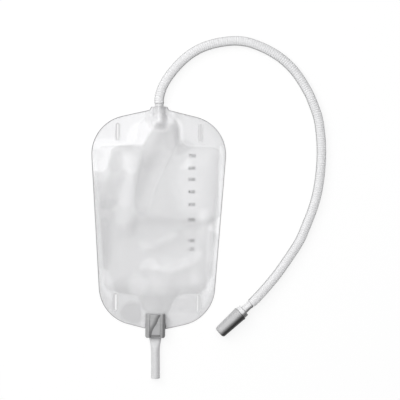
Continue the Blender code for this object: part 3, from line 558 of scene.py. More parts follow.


# Values stored on points: how dark (1) or pale (-1) the surface looks there, mostly painted shade
# and painted light

def cling_and_painted_light(x, y):
    """Films: painted shade where they cling or fold into shade, painted highlight where they stand
    clear and shine.
    """
    total = np.zeros(x.shape)
    for corners, soft, strength in CLING_AND_PAINTED_LIGHT:
        depth = depth_in(x / MILLIMETRE, y / MILLIMETRE, soft_outline(corners))
        total += strength * smoothstep(0.5 + depth / soft)
    return total


def plug_shade(half):
    """Cap or connector: painted highlight towards the upper left, painted shade nearly black along
    the lower right.
    """
    along = np.array(PLUG_HEADING[:2]) / np.linalg.norm(PLUG_HEADING[:2])
    start = ROUTE[-1]

    def shade(x, y):
        across = ((x - start[0]) * -along[1] + (y - start[1]) * along[0]) / half
        return (1.7 * ramp(across, -0.15, 0.75) - 0.7 - 0.3 * ramp(-across, 0.25, 0.40)
                + 0.5 * ramp(-across, 0.88, 0.10))

    return shade


def painted_shadow_band(y):
    """Painted shadow: a dark band across the lower end of the clamp."""
    return 0.6 * smoothstep(1.5 - np.abs(y - CLAMP_END_Y - BAND_PLACE) / BAND_HALF)


def clamp_shade(x, y):
    """Clamp body: painted highlight on the left cheek, painted shade on the right cheek, and the
    painted shadow band.
    """
    across = (x - OUTLET_X) / CLAMP_HALF
    cheeks = 0.40 * ramp(across, 0.62, 0.20) - ramp(-across, 0.55, 0.15)
    return np.maximum(cheeks, painted_shadow_band(y))


def tab_edge_shade(x, y):
    """Outline bead: its painted edge shade is left out, pale, where it crosses the inlet."""
    return -ramp(-np.abs(x), -0.0095, 0.002) * (y > TAB_TOP_Y - 0.003)


def port_shade(x, y):
    """Inlet fitting: painted light on its right side, which falls in shade, and a slightly darker
    collar outside the films.
    """
    return np.where(y > TAB_TOP_Y, 0.35, -ramp(x, 0.001, 0.003))


def pad_line(x, y):
    """How far a point lies left of the swept line across the lever, in half widths."""
    along = (y - (CLAMP_TOP_Y + CLAMP_END_Y) / 2) / ((CLAMP_TOP_Y - CLAMP_END_Y) / 2)
    line = 0.66 * np.tanh(2.0 * along) - 0.02 + 0.8 * np.maximum(0.0, along - 0.55)
    return line - (x - OUTLET_X) / LEVER_HALF


def pad_shade(x, y):
    """Lever: a painted reflection, darkening towards the swept line that crosses it, plain beyond
    the line, with the painted shadow band.
    """
    left = pad_line(x, y)
    dark = (0.85 * smoothstep(1.0 - left / 1.1) - 0.05) * ramp(left, -0.07, 0.14)
    return np.maximum(dark, painted_shadow_band(y))


# Meshes

def changed(item, **values):
    """The item with its properties set."""
    for key, value in values.items():
        setattr(item, key, value)
    return item


def linked(name, data):
    """A new object of the scene."""
    obj = bpy.data.objects.new(name, data)
    bpy.context.scene.collection.objects.link(obj)
    return obj


def evaluated(obj):
    """The object's mesh after its modifiers, or a text's as a mesh."""
    return bpy.data.meshes.new_from_object(
        obj.evaluated_get(bpy.context.evaluated_depsgraph_get()))


def new_piece(mesh, body, material, slot, *replaced, shadow=True):
    """A piece named as its mesh, riding a body, in its material; its slot is not used."""
    obj = changed(linked(mesh.name, mesh), visible_shadow=shadow)
    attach(obj, body)
    if replaced:
        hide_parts(*replaced)
    mesh.materials.clear()
    mesh.materials.append(material)
    return obj


def mesh_of(name, verts, faces, smooth_angle=40):
    """Mesh with its faces outward, smooth but for edges sharper than the angle."""
    mesh = bpy.data.meshes.new(name)
    mesh.from_pydata([tuple(v) for v in verts], [], faces)
    bm = bmesh.new()
    bm.from_mesh(mesh)
    bmesh.ops.recalc_face_normals(bm, faces=bm.faces)
    bm.to_mesh(mesh)
    bm.free()
    mesh.shade_smooth()
    mesh.set_sharp_from_angle(angle=math.radians(smooth_angle))
    return mesh


def stored(mesh, name, values):
    """The mesh with a value on each of its points, for its material."""
    attribute = mesh.attributes.new(name, "FLOAT", "POINT")
    attribute.data.foreach_set("value", values.astype(np.float32))
    return mesh


def shaded(mesh, function, name="shade"):
    """The mesh with function(x, y) stored on its points."""
    x, y = np.array([v.co[:2] for v in mesh.vertices]).T
    return stored(mesh, name, function(x, y))


def shell_faces(faces, count):
    """The faces, the same faces turned over count points on, and walls round their rim."""
    edges = dict.fromkeys(edge for face in faces for edge in sides_of(face))
    walls = [(b, a, a + count, b + count) for a, b in edges if (b, a) not in edges]
    return faces + [[v + count for v in reversed(face)] for face in faces] + walls


def along_weld():
    """Points on the chamber's weld line and a hair to either side of it."""
    middle = np.array(spread(chamber_outline, FILM_SPACING))
    run = np.roll(middle, -1, axis=0) - np.roll(middle, 1, axis=0)
    aside = np.column_stack([run[:, 1], -run[:, 0]]) / np.linalg.norm(run, axis=1)[:, None]
    return [Vector(point) for shift in (-1, 0, 1) for point in middle + aside * shift * WELD_LINE]


def film_mesh(name, outline, holes, height, thickness, spacing=FILM_SPACING, weld=False):
    """Closed film, cut to an outline with holes and raised to height(x, y)."""
    points = []
    edges = []
    for loop in [outline] + holes:
        dense = spread(loop, spacing)
        first = len(points)
        points += dense
        edges += [(first + k, first + (k + 1) % len(dense)) for k in range(len(dense))]
    low, high = np.min(points, axis=0), np.max(points, axis=0)
    rows = enumerate(np.arange(low[1], high[1], spacing * math.sqrt(0.75)))
    xs, ys = np.array([(x + spacing / 2 * (row % 2), y) for row, y in rows
                       for x in np.arange(low[0], high[0], spacing)]).T
    keep = depth_in(xs, ys, outline) > spacing / 2
    for hole in holes:
        keep &= depth_in(xs, ys, hole) < -spacing / 2
    if weld:
        keep &= np.abs(depth_in(xs, ys, chamber_outline)) > WELD_LINE + spacing / 3
        points += along_weld()
    points += [Vector(point) for point in zip(xs[keep], ys[keep])]
    flat, _, triangles, *_ = delaunay_2d_cdt(points, edges, [], 0, SAME_PLACE)
    flat = np.array([tuple(point) for point in flat])
    triangles = np.array([list(t) for t in triangles if len(t) == 3])
    middle = flat[triangles].mean(axis=1).T
    inside = depth_in(*middle, outline) > 0.0
    for hole in holes:
        inside &= depth_in(*middle, hole) < 0.0
    z = height(*flat.T)
    verts = np.vstack([np.column_stack([flat, z + thickness / 2]),
                       np.column_stack([flat, z - thickness / 2])])
    faces = shell_faces(triangles[inside].tolist(), len(flat))
    used = sorted({v for face in faces for v in face})
    place = {v: k for k, v in enumerate(used)}
    return mesh_of(name, verts[used], [[place[v] for v in face] for face in faces])


def ring_of(across, upward, sides):
    """Directions round an axis, or round each of many."""
    angles = 2 * math.pi * np.arange(sides)[:, None] / sides
    return across * np.cos(angles) + upward * np.sin(angles)


def ring_faces(count, sides, closed):
    """Faces between rings of points, with two ends unless the rings close on themselves."""
    faces = [(i * sides + k, i * sides + (k + 1) % sides,
              (i + 1) % count * sides + (k + 1) % sides, (i + 1) % count * sides + k)
             for i in range(count if closed else count - 1) for k in range(sides)]
    if not closed:
        faces += [tuple(range(sides)), tuple(range((count - 1) * sides, count * sides))]
    return faces


def swept(path, radii, sides=8, closed=False):
    """Vertices and faces of a tube along a path that never points straight up."""
    path = np.asarray(path, float)
    if closed:
        heading = np.roll(path, -1, axis=0) - np.roll(path, 1, axis=0)
    else:
        heading = np.gradient(path, axis=0)
    heading /= np.linalg.norm(heading, axis=1)[:, None]
    across = np.cross(heading, UP)
    across /= np.linalg.norm(across, axis=1)[:, None]
    ring = ring_of(across[:, None], np.cross(across, heading)[:, None], sides)
    verts = path[:, None] + ring * np.broadcast_to(radii, len(path))[:, None, None]
    return verts.reshape(-1, 3), ring_faces(len(path), sides, closed)


def lathe(profile, start, heading, sides=64):
    """Vertices and faces of a closed profile of (along, radius) turned round an axis."""
    heading = np.asarray(heading) / np.linalg.norm(heading)
    across = np.cross(heading, UP)
    ring = ring_of(across, np.cross(across, heading), sides)
    verts = []
    rows = []
    for along, radius in profile:
        middle = np.asarray(start) + heading * along
        if radius < ON_AXIS:
            rows.append([len(verts)] * sides)
            verts.append(middle)
        else:
            rows.append(list(range(len(verts), len(verts) + sides)))
            verts += list(middle + ring * radius)
    faces = []
    for row, following in sides_of(rows):
        for k in range(sides):
            n = (k + 1) % sides
            face = list(dict.fromkeys((row[k], row[n], following[n], following[k])))
            if len(face) > 2:
                faces.append(face)
    return verts, faces


def turned(name, corners, along, sides):
    """Mesh of corners (along, radius, fillet) turned round the plug's axis."""
    heading = np.array(PLUG_HEADING) / np.linalg.norm(PLUG_HEADING)
    profile = [tuple(point) for point in rounded(corners)]
    start = np.array(ROUTE[-1]) + heading * along
    return mesh_of(name, *lathe(profile, start, PLUG_HEADING, sides), 50)


def prism(outline, low, high, axis):
    """Mesh of a flat outline, from low to high along Z (x, y), X (y, z) or Y (x, z)."""
    place = {"Z": lambda a, b, c: (a, b, c), "X": lambda a, b, c: (c, a, b),
             "Y": lambda a, b, c: (a, c, b)}[axis]
    count = len(outline)
    verts = [place(a, b, end) for end in (low, high) for a, b in outline]
    faces = [tuple(range(count)), tuple(range(count, 2 * count))]
    faces += [(k, (k + 1) % count, (k + 1) % count + count, k + count) for k in range(count)]
    return mesh_of("prism", verts, faces)


def block(low, high):
    """Box between two corners."""
    corners = ((low[0], low[1]), (high[0], low[1]), (high[0], high[1]), (low[0], high[1]))
    return prism(corners, low[2], high[2], "Z")


def rod(start, end, radius, end_radius=None):
    """Round bar, plain or tapered."""
    last = end_radius or radius
    length = math.dist(start, end)
    profile = [(0.0, 0.0), (0.0, radius), (length, last), (length, 0.0)]
    return mesh_of("rod", *lathe(profile, start, np.subtract(end, start)))


def carved(name, mesh, steps, bevel):
    """The mesh after joining or cutting other meshes, with its edges softened."""
    obj = linked(name, mesh)
    tools = []
    for operation, other in steps:
        tools.append(linked("tool", other))
        changed(obj.modifiers.new("step", "BOOLEAN"), operation=operation, solver="EXACT",
                object=tools[-1])
    changed(obj.modifiers.new("edges", "BEVEL"), width=bevel, segments=EDGE_SEGMENTS,
            limit_method="ANGLE", angle_limit=BEVEL_ANGLE, use_clamp_overlap=True)
    final = changed(evaluated(obj), name=name)
    for item in [obj] + tools:
        bpy.data.objects.remove(item, do_unlink=True)
    final.shade_smooth()
    final.set_sharp_from_angle(angle=math.radians(35))
    return final


# Materials

def set_inputs(tree, node, inputs):
    """Sets or links a node's numbered or named inputs."""
    for key, value in inputs.items():
        if isinstance(value, bpy.types.NodeSocket):
            tree.links.new(value, node.inputs[key])
        else:
            node.inputs[key].default_value = value
    return node


def place_node(tree, kind, inputs=(), **properties):
    """Adds a shader node with its properties and inputs."""
    node = changed(tree.nodes.new("ShaderNode" + kind), **properties)
    return set_inputs(tree, node, dict(inputs))


def maths(tree, operation, *values, clamp=False):
    """Result of a maths node."""
    return place_node(tree, "Math", dict(enumerate(values)), operation=operation,
                      use_clamp=clamp).outputs[0]


def remap(tree, value, low, high, to_low=0.0, to_high=1.0):
    """The value, carried from one range to another and held within it."""
    return place_node(tree, "MapRange", {
        "Value": value, "From Min": low, "From Max": high,
        "To Min": to_low, "To Max": to_high}).outputs[0]


def mix(tree, share, first, second):
    """Two colours mixed."""
    return place_node(tree, "Mix", {0: share, 6: first, 7: second},
                      data_type="RGBA").outputs[2]


def start_group(name, output, **inputs):
    """A shader node group with named inputs and output, its inputs and object place."""
    group = bpy.data.node_groups.new(name, "ShaderNodeTree")
    for label, value in inputs.items():
        socket = group.interface.new_socket(label, in_out="INPUT", socket_type="NodeSocketFloat")
        socket.default_value = value
    group.interface.new_socket(output, in_out="OUTPUT", socket_type="NodeSocketFloat")
    place = place_node(group, "TexCoord").outputs["Object"]
    return group, group.nodes.new("NodeGroupInput").outputs, place


def end_group(group, value):
    """Gives the group's output its value."""
    group.links.new(value, group.nodes.new("NodeGroupOutput").inputs[0])
    return group


def cloudiness_group():
    """Soft uneven milkiness: a mask from 0 to 1."""
    group, source, place = start_group("cloudiness", "Mask", Scale=20.0, Contrast=1.0)
    noise = place_node(group, "TexNoise", {
        "Vector": place, "Scale": source["Scale"], "Detail": 5.0, "Roughness": 0.55})
    centred = maths(group, "SUBTRACT", noise.outputs[0], 0.5)
    return end_group(group, maths(group, "MULTIPLY_ADD", centred, source["Contrast"], 0.5,
                                  clamp=True))


def grain_group():
    """Fine surface grain: a height from 0 to 1."""
    group, source, place = start_group("surface_grain", "Height", Scale=900.0, Pits=0.3)
    noise = place_node(group, "TexNoise", {
        "Vector": place, "Scale": source["Scale"], "Detail": 3.0})
    pits = place_node(group, "TexVoronoi", {"Vector": place, "Scale": source["Scale"]})
    return end_group(group, maths(group, "MULTIPLY_ADD", pits.outputs["Distance"],
                                  source["Pits"], noise.outputs[0]))


def marks_group():
    """Fine handling marks: thin streaks as a mask from 0 to 1."""
    group, source, place = start_group("handling_marks", "Mask", Scale=60.0, Amount=0.5)
    stretch = place_node(group, "Mapping", {
        "Vector": place, "Rotation": (0.0, 0.0, 0.6), "Scale": (1.0, 9.0, 3.0)})
    noise = place_node(group, "TexNoise", {
        "Vector": stretch.outputs[0], "Scale": source["Scale"], "Detail": 6.0})
    streaks = remap(group, noise.outputs[0], 0.60, 0.72)
    return end_group(group, maths(group, "MULTIPLY", streaks, source["Amount"]))


cloudiness = cloudiness_group()
surface_grain = grain_group()
handling_marks = marks_group()


def use_group(tree, group, **values):
    """Places a group with its own values, and gives its output."""
    return place_node(tree, "Group", values, node_tree=group).outputs[0]


def stored_value(tree, name):
    """The value stored on the points under a name."""
    return place_node(tree, "Attribute", attribute_name=name).outputs["Fac"]


def grey(value, alpha=1.0):
    """A neutral colour with the faint coolness of the plastics."""
    return (value, value, value * 1.012, alpha)


def new_material(name):
    """A new material and its node tree."""
    material = changed(bpy.data.materials.new(name), use_nodes=True)
    return material, material.node_tree


def surface(tree, color, roughness, streaks, grain, strength, depth, **others):
    """The material's own shader: colour, gloss that streaks dull, and grain."""
    bump = place_node(tree, "Bump", {"Strength": strength, "Distance": depth, "Height": grain})
    return set_inputs(tree, tree.nodes["Principled BSDF"], {
        "Base Color": color, "Roughness": maths(tree, "MULTIPLY_ADD", *streaks, roughness),
        "Normal": bump.outputs[0], **others})


def plastic(name, dark, light, roughness, cloud_scale=30.0, grain_depth=0.00003, marks=0.3,
            metallic=0.0, specular=0.5, shades=()):
    """Moulded or drawn plastic: cloudy colour, grain, and streaks that dull the gloss.

    With shades, it goes to the first, a painted highlight, or the second, a painted shade, by the
    shade stored on the points.
    """
    material, tree = new_material(name)
    material.diffuse_color = grey(light)
    cloud = use_group(tree, cloudiness, Scale=cloud_scale, Contrast=2.0)
    color = mix(tree, cloud, grey(dark), grey(light))
    for sign, tone in zip((-1.0, 1.0), shades):
        share = maths(tree, "MULTIPLY", stored_value(tree, "shade"), sign, clamp=True)
        color = mix(tree, share, color, grey(tone))
    streaks = use_group(tree, handling_marks, Amount=marks)
    surface(tree, color, roughness, (streaks, 0.25), use_group(tree, surface_grain), 0.5,
            grain_depth, Metallic=metallic, **{"Specular IOR Level": specular})
    return material


def film_material(name, pale, plain, dark, alphas, roughness):
    """Soft clear film whose tone and see-through follow the painted shade and highlights stored on
    its points.
    """
    material, tree = new_material(name)
    material.diffuse_color = grey(plain, alphas[0])
    cloud = use_group(tree, cloudiness, Scale=28.0, Contrast=1.4)
    tone = maths(tree, "MULTIPLY_ADD", cloud, 0.25, stored_value(tree, "cling_and_painted_light"))
    color = mix(tree, remap(tree, tone, 0.1, 1.1), grey(plain), grey(dark))
    color = mix(tree, remap(tree, tone, 0.1, -0.9), color, grey(pale))
    streaks = use_group(tree, handling_marks, Scale=40.0, Amount=0.5)
    grain = use_group(tree, surface_grain, Scale=700.0, Pits=0.2)
    surface(tree, color, roughness, (streaks, 0.2), grain, 0.35, 0.00006,
            Alpha=remap(tree, tone, -0.9, 1.1, *alphas))
    return material


# Film tones pale, plain and dark: pale is a painted highlight and dark a painted shade, set by the
# values stored on the points
front_film = film_material("front_film", 0.92, 0.84, 0.76, (0.08, 0.30), 0.24)
back_film = film_material("back_film", 0.83, 0.63, 0.52, (1.0, 1.0), 0.45)
valve_film = film_material("valve_film", 0.86, 0.70, 0.58, (1.0, 1.0), 0.40)
# The outline bead's dark tone is a painted shade for the dark line along the film's edge
weld_bead = plastic("weld_bead", 0.12, 0.20, 0.40, shades=(0.72, 0.05))
slot_lip = plastic("slot_lip", 0.50, 0.58, 0.40)
slot_bead = plastic("slot_bead", 0.66, 0.74, 0.40)
# Port tones: painted light and a darker tone, from the stored shade
port_plastic = plastic("port_plastic", 0.72, 0.80, 0.40, shades=(0.97, 0.30))
# Tube tones: painted light and painted shade, from its stored shade
tube_plastic = plastic("tube_plastic", 0.66, 0.72, 0.50, 60.0, 0.00001, shades=(0.92, 0.20))
outlet_plastic = plastic("outlet_plastic", 0.58, 0.61, 0.45)
# Connector tones: a painted highlight and a painted shade, from its stored shade
connector_plastic = plastic("connector_plastic", 0.62, 0.72, 0.30, shades=(0.66, 0.20))
# Clamp tones: a painted highlight and a painted shade, from the stored shade
clamp_plastic = plastic("clamp_plastic", 0.31, 0.35, 0.25, 160.0, marks=0.6, metallic=0.05,
                        specular=0.30, shades=(0.90, 0.02))
# Cap tones: a painted highlight and a nearly black painted shade, from its stored shade
cap_plastic = plastic("cap_plastic", 0.24, 0.29, 0.45, 120.0, metallic=0.20, specular=0.4,
                      shades=(0.46, 0.030))
scale_ink = plastic("scale_ink", 0.01, 0.02, 0.5, 900.0)


# Pieces

def bead(name, points, height, radius, closed=False):
    """Thin round bead along points (x, y), at height(x, y)."""
    x, y = np.array(points).T
    path = np.column_stack([x, y, height(x, y)])
    return mesh_of(name, *swept(path, radius, closed=closed), 80)


def make_films():
    """Front film, back film, the slots' lips, and the fused bead round outline and slots."""
    films = []
    for name, height, material, slot, node in (
            ("front_film", front_height, front_film, "clear_film", "front_panel"),
            ("back_film", back_height, back_film, "back_sheet", "back_panel")):
        mesh = film_mesh(name, bag_outline, slot_outlines, height, FILM, weld=True)
        # Each film carries its painted shade and painted highlights on its points
        films.append(new_piece(shaded(mesh, cling_and_painted_light, "cling_and_painted_light"), "bag", material, slot, node))
    for number, ((x, y), (aside, width)) in enumerate(zip(SLOT_PLACES, SLITS), 1):
        slit = slot_outline(x + aside, y, width, SLOT_LENGTH - SLIT_SHORTER)
        lip = film_mesh(f"slot_lip_{number}", slot_outlines[number - 1], [slit],
                        level(FILM + GAP / 2), LIP, BEAD_SPACING)
        new_piece(lip, "bag", slot_lip, "clear_film")
    for number, loop in enumerate([bag_outline] + slot_outlines):
        mesh = bead(f"slot_weld_{number}" if number else "outline_weld",
                    spread(loop, BEAD_SPACING), lambda x, y: front_height(x, y) - FILM / 2,
                    WELD_BEAD, closed=True)
        new_piece(shaded(mesh, tab_edge_shade), "bag", slot_bead if number else weld_bead,
                  "clear_film")
    return films


def make_valve():
    """Valve tongue of two films below the inlet, with a welded seam along each side."""
    films = []
    for name, height, node in (
            ("valve_tongue_front", valve_height, "valve_film_front"),
            ("valve_tongue_back", level(FILM + GAP + VALVE_FILM / 2), "valve_film_back")):
        mesh = film_mesh(name, spread(valve_outline, VALVE_RIM_SPACING), [], height,
                         VALVE_FILM, VALVE_SPACING)
        # The valve films and seams carry the same painted shade and painted highlights
        films.append(new_piece(shaded(mesh, cling_and_painted_light, "cling_and_painted_light"), "bag", valve_film, "clear_film",
                               node, shadow=False))
    for name, side in (("valve_seam_right", valve_outline[1:6]),
                       ("valve_seam_left", valve_outline[6:11])):
        dense = spread(side, SEAM_SPACING)
        dense = dense[:len(dense) - round((side[0] - side[-1]).length / SEAM_SPACING)]
        mesh = bead(name, [(x * SEAM_INSET, y) for x, y in dense], valve_height, VALVE_SEAM)
        new_piece(shaded(mesh, cling_and_painted_light, "cling_and_painted_light"), "bag", valve_film, "clear_film", shadow=False)
    return films


def saddle(middle, half, height, low_y, high_y):
    """Boat-shaped foot of a port, flat below and arched above."""
    base = FILM + GAP
    xs = np.linspace(half, -half, SADDLE_STEPS)
    outline = [(middle + x, base + FILM + (height - FILM) * (1 - (x / half) ** 2)) for x in xs]
    outline += [(middle - half, base), (middle + half, base)]
    return prism(outline, low_y, high_y, "Y")


def make_ports():
    """Inlet and outlet fittings, welded between the films."""
    def pipe(start_y, end_y, *radii):
        return rod((x, start_y, z), (x, end_y, z), *radii)

    x, z = 0.0, INLET_AXIS_Z
    foot = saddle(x, INLET_SADDLE_HALF, z + INLET_BORE + INLET_WALL - FILM - GAP,
                  INLET_SADDLE_Y, TAB_TOP_Y)
    mesh = carved("inlet_fitting", foot, [
        ("UNION", pipe(INLET_MOUTH_Y - GAP, INLET_STUB_END_Y, INLET_STUB)),
        ("UNION", pipe(TAB_TOP_Y + GAP, INLET_MOUTH_Y, INLET_COLLAR)),
        ("DIFFERENCE", pipe(INLET_MOUTH_Y + PAST, INLET_STUB_END_Y - PAST, INLET_BORE))],
        INLET_BEVEL)
    new_piece(shaded(mesh, port_shade), "bag", port_plastic, "clear_plastic", "inlet_port")

    x, z = OUTLET_X, OUTLET_AXIS_Z
    root_y = NOTCH_Y + GAP
    spigot = OUTLET_BORE + SPIGOT_WALL
    foot = saddle(x, OUTLET_SADDLE_HALF, z + OUTLET_BORE + OUTLET_WALL - FILM - GAP,
                  root_y, OUTLET_SADDLE_END_Y)
    mesh = carved("outlet_fitting", foot, [
        ("UNION", pipe(root_y + spigot / 2, SPIGOT_END_Y, spigot, spigot - GAP)),
        ("DIFFERENCE", pipe(OUTLET_SADDLE_END_Y + PAST, SPIGOT_END_Y - PAST, OUTLET_BORE))],
        OUTLET_BEVEL)
    new_piece(mesh, "bag", port_plastic, "clear_plastic", "outlet_port")


def smooth_route(points, spacing):
    """Even points on a smooth curve through the route's own, and how far along each lies."""
    knots = np.array(points)
    knots = np.vstack([2 * knots[0] - knots[1], knots, 2 * knots[-1] - knots[-2]])
    share = np.arange(ROUTE_STEPS)[:, None] / ROUTE_STEPS
    fine = np.vstack([curve_through(*four, share) for four in
                      zip(knots, knots[1:], knots[2:], knots[3:])] + [knots[-2]])
    travelled = np.append(0.0, np.cumsum(np.linalg.norm(np.diff(fine, axis=0), axis=1)))
    places = np.linspace(0.0, travelled[-1], round(travelled[-1] / spacing) + 1)
    return np.column_stack([np.interp(places, travelled, axis) for axis in fine.T]), places


def make_drainage_tube():
    """Corrugated tube with a plain cuff at each end and one on the way."""
    path, places = smooth_route(ROUTE, RING_PITCH / RING_STEPS)
    length = places[-1]
    ring = np.abs(np.sin(math.pi * places / RING_PITCH)) ** RING_FULLNESS
    middle = places[np.argmin(np.hypot(*(path[:, :2] - MID_CUFF_PLACE).T))]
    cuff = np.maximum.reduce([
        smoothstep((INLET_CUFF - places) / CUFF_EDGE + 0.5),
        smoothstep((places - length + CONNECTOR_CUFF) / CUFF_EDGE + 0.5),
        smoothstep((MID_CUFF / 2 - np.abs(places - middle)) / MID_CUFF_EDGE + 0.5)])
    radii = TUBE_DIAMETER / 2 - RING_DEPTH * (1 - ring) * (1 - cuff) - CUFF_DEPTH * cuff
    verts, faces = swept(path, radii, TUBE_SIDES)
    # Painted shade along both edges of the tube, deeper in the grooves, and painted light on the
    # lower right side, which falls in shade
    outward = verts - np.repeat(path, TUBE_SIDES, axis=0)
    outward /= np.linalg.norm(outward, axis=1)[:, None]
    side = np.hypot(outward[:, 0], outward[:, 1])
    away = np.maximum(0.0, outward @ (0.7, -0.7, 0.0))
    dip = np.repeat(1.0 - ring * (1 - cuff), TUBE_SIDES)
    shade = ramp(side, 0.78, 0.16) * (0.55 + 0.45 * dip) - 0.9 * away * (side < 0.8)
    mesh = stored(mesh_of("corrugated_tube", verts, faces, 80), "shade", shade)
    return new_piece(mesh, "bag", tube_plastic, "tube_plastic", "drainage_tube"), path, length


def make_connector():
    """Stepped cone behind a flange, and the neck that the tube is pushed over."""
    cone = NECK_LENGTH + FLANGE_THICKNESS
    corners = [(0.0, PLUG_BORE, 0.0003), (0.0, NECK - 0.0006, 0.0002), (0.0012, NECK, 0.0003),
               (0.0030, NECK, 0.0002), (0.0034, NECK - 0.0005, 0.0002),
               (NECK_LENGTH - 0.0004, NECK - 0.0002, 0.0006),
               (NECK_LENGTH, FLANGE, 0.0006), (cone, FLANGE, 0.0006)]
    for step in range(CONE_STEPS):
        near, far = (CONE_ROOT + (CONE_TIP - CONE_ROOT) * k / CONE_STEPS for k in (step, step + 1))
        at, end = (cone + CONE_LENGTH * k / CONE_STEPS for k in (step, step + 1))
        corners += [(at + 0.0001, near - CONE_STEP_DEPTH, 0.0001),
                    (at + CONE_LENGTH / CONE_STEPS / 3, near, 0.0008), (end, far, 0.0002)]
    corners.append((cone + CONE_LENGTH, PLUG_BORE, 0.0002))
    mesh = shaded(turned("stepped_connector", corners, GAP, 64), plug_shade(CONNECTOR_SHADE_HALF))
    return new_piece(mesh, "bag", connector_plastic, "clear_plastic", "tube_connector")


def make_cap():
    """Tapered cap with a rolled rim and a softly rounded end."""
    rim = CAP_MOUTH + CAP_RIM_PROUD
    corners = [(0.0, CAP_MOUTH - CAP_WALL, 0.0003), (0.0, rim, 0.0005), (CAP_RIM, rim, 0.0003),
               (CAP_RIM + 0.0002, CAP_MOUTH, 0.0001), (CAP_LENGTH, CAP_TIP, CAP_EDGE),
               (CAP_LENGTH, CAP_TIP * 0.45, 0.0006), (CAP_LENGTH - 0.0003, CAP_TIP * 0.35, 0.0006),
               (CAP_LENGTH - 0.0003, 0.0, 0.0), (CAP_LENGTH - CAP_WALL, 0.0, 0.0),
               (CAP_LENGTH - CAP_WALL, CAP_TIP - CAP_EDGE, 0.0003),
               (CAP_LENGTH - CAP_EDGE, CAP_TIP - CAP_WALL, 0.0006)]
    mesh = turned("tube_cap", corners, NECK_LENGTH + FLANGE_THICKNESS + 2 * GAP, 96)
    return new_piece(shaded(mesh, plug_shade(CAP_MOUTH)), "cap", cap_plastic, "cap_plastic",
                     "connector_cap")


def outlet_tube_shape(y):
    """Half width, half height and middle height of the outlet tube at y."""
    pinch_height = OUTLET_TUBE_WALL + PINCH_SLIT / 2
    pinch_z = CLAMP_FLOOR + ANVIL + GAP + pinch_height
    if y > PINCH_Y:
        round_y, flat_y, free_z = SPIGOT_END_Y - GAP, PINCH_Y + RIB_HALF, OUTLET_AXIS_Z
    else:
        round_y, flat_y, free_z = ROUND_AGAIN_Y, PINCH_Y - RIB_HALF, OUTLET_TUBE
    squeeze = float(ramp(y, round_y, flat_y - round_y))
    half_width = OUTLET_TUBE + (PINCH_HALF_WIDTH - OUTLET_TUBE) * squeeze
    half_height = OUTLET_TUBE + (pinch_height - OUTLET_TUBE) * squeeze
    return half_width, half_height, free_z + (pinch_z - free_z) * squeeze


def make_outlet_tube():
    """Soft tube, pinched flat under the lever, with a rounded cut end."""
    places = [(y, 0.0) for y in
              np.linspace(OUTLET_TUBE_TOP_Y, OUTLET_TUBE_END_Y + CUT_EDGE, OUTLET_RINGS)]
    places += [(OUTLET_TUBE_END_Y + CUT_EDGE * (1 - math.sin(t)), CUT_EDGE * (1 - math.cos(t)))
               for t in np.linspace(0.0, math.pi / 2, CUT_STEPS)[1:]]
    angles = 2 * math.pi * (np.arange(OUTLET_SIDES) + 0.5) / OUTLET_SIDES

    def ring(y, inset):
        half_width, half_height, middle = outlet_tube_shape(y)
        half_width, half_height = half_width - inset, half_height - inset
        side = np.copysign(half_width - half_height, np.cos(angles))
        middle_x = OUTLET_X + OUTLET_LEAN * max(0.0, CLAMP_END_Y - y)
        return np.column_stack([middle_x + side + half_height * np.cos(angles),
                                np.full(OUTLET_SIDES, y), middle + half_height * np.sin(angles)])

    rings = [ring(y, inset) for y, inset in places]
    rings += [ring(y, OUTLET_TUBE_WALL - inset) for y, inset in reversed(places)]
    mesh = mesh_of("soft_outlet_tube", np.vstack(rings),
                   ring_faces(len(rings), OUTLET_SIDES, closed=True), 60)
    new_piece(mesh, "bag", outlet_plastic, "tube_plastic", "outlet_tube")


def hinge_rod(half, radius):
    """Round bar along the lever's hinge."""
    return rod((OUTLET_X - half, HINGE_Y, HINGE_Z), (OUTLET_X + half, HINGE_Y, HINGE_Z), radius)


def make_clamp_base():
    """Channel round the outlet tube, with an anvil rib and two arms up to the hinge."""
    left, right = OUTLET_X - CLAMP_HALF, OUTLET_X + CLAMP_HALF
    section = rounded([(left, 0.0, CLAMP_FLOOR / 2), (right, 0.0, CLAMP_FLOOR / 2),
                       (right, CLAMP_HEIGHT, CLAMP_EDGE), (left, CLAMP_HEIGHT, CLAMP_EDGE)])
    plan = rounded([(left, CLAMP_TOP_Y, CLAMP_BEVEL), (left, CLAMP_END_Y, CLAMP_CORNER),
                    (right, CLAMP_END_Y, CLAMP_CORNER), (right, CLAMP_TOP_Y, CLAMP_BEVEL)])
    anvil_z = CLAMP_FLOOR + ANVIL
    far_y, near_y = CLAMP_TOP_Y + PAST, CLAMP_END_Y - PAST
    channel = prism([
        (far_y, CLAMP_FLOOR), (far_y, CHANNEL_TOP_Z), (near_y, CHANNEL_TOP_Z),
        (near_y, CLAMP_FLOOR), (PINCH_Y - RIB_HALF - ANVIL / 2, CLAMP_FLOOR),
        (PINCH_Y - RIB_HALF / 2, anvil_z), (PINCH_Y + RIB_HALF / 2, anvil_z),
        (PINCH_Y + RIB_HALF + ANVIL / 2, CLAMP_FLOOR),
    ], OUTLET_X - CHANNEL_HALF, OUTLET_X + CHANNEL_HALF, "X")
    film_space = block((left - PAST, NOTCH_Y - 2 * GAP, -PAST),
                       (right + PAST, far_y, ARM_UNDERSIDE_Z))
    lever_slot = block((OUTLET_X - LEVER_HALF - GAP, near_y, CHANNEL_TOP_Z - PAST / 2),
                       (OUTLET_X + LEVER_HALF + GAP, far_y, CLAMP_HEIGHT + PAST))
    pivots = hinge_rod(PIN_REACH + GAP, PIN + GAP / 2)
    mesh = carved("clamp_body", prism(section, CLAMP_END_Y, CLAMP_TOP_Y, "Y"), [
        ("INTERSECT", prism(plan, -PAST, CLAMP_HEIGHT + PAST, "Z")),
        *(("DIFFERENCE", cut) for cut in (film_space, channel, lever_slot, pivots))], CLAMP_BEVEL)
    # The clamp body carries a painted highlight, a painted shade and the painted shadow band
    new_piece(shaded(mesh, clamp_shade), "bag", clamp_plastic, "clamp_plastic", "clamp_base")


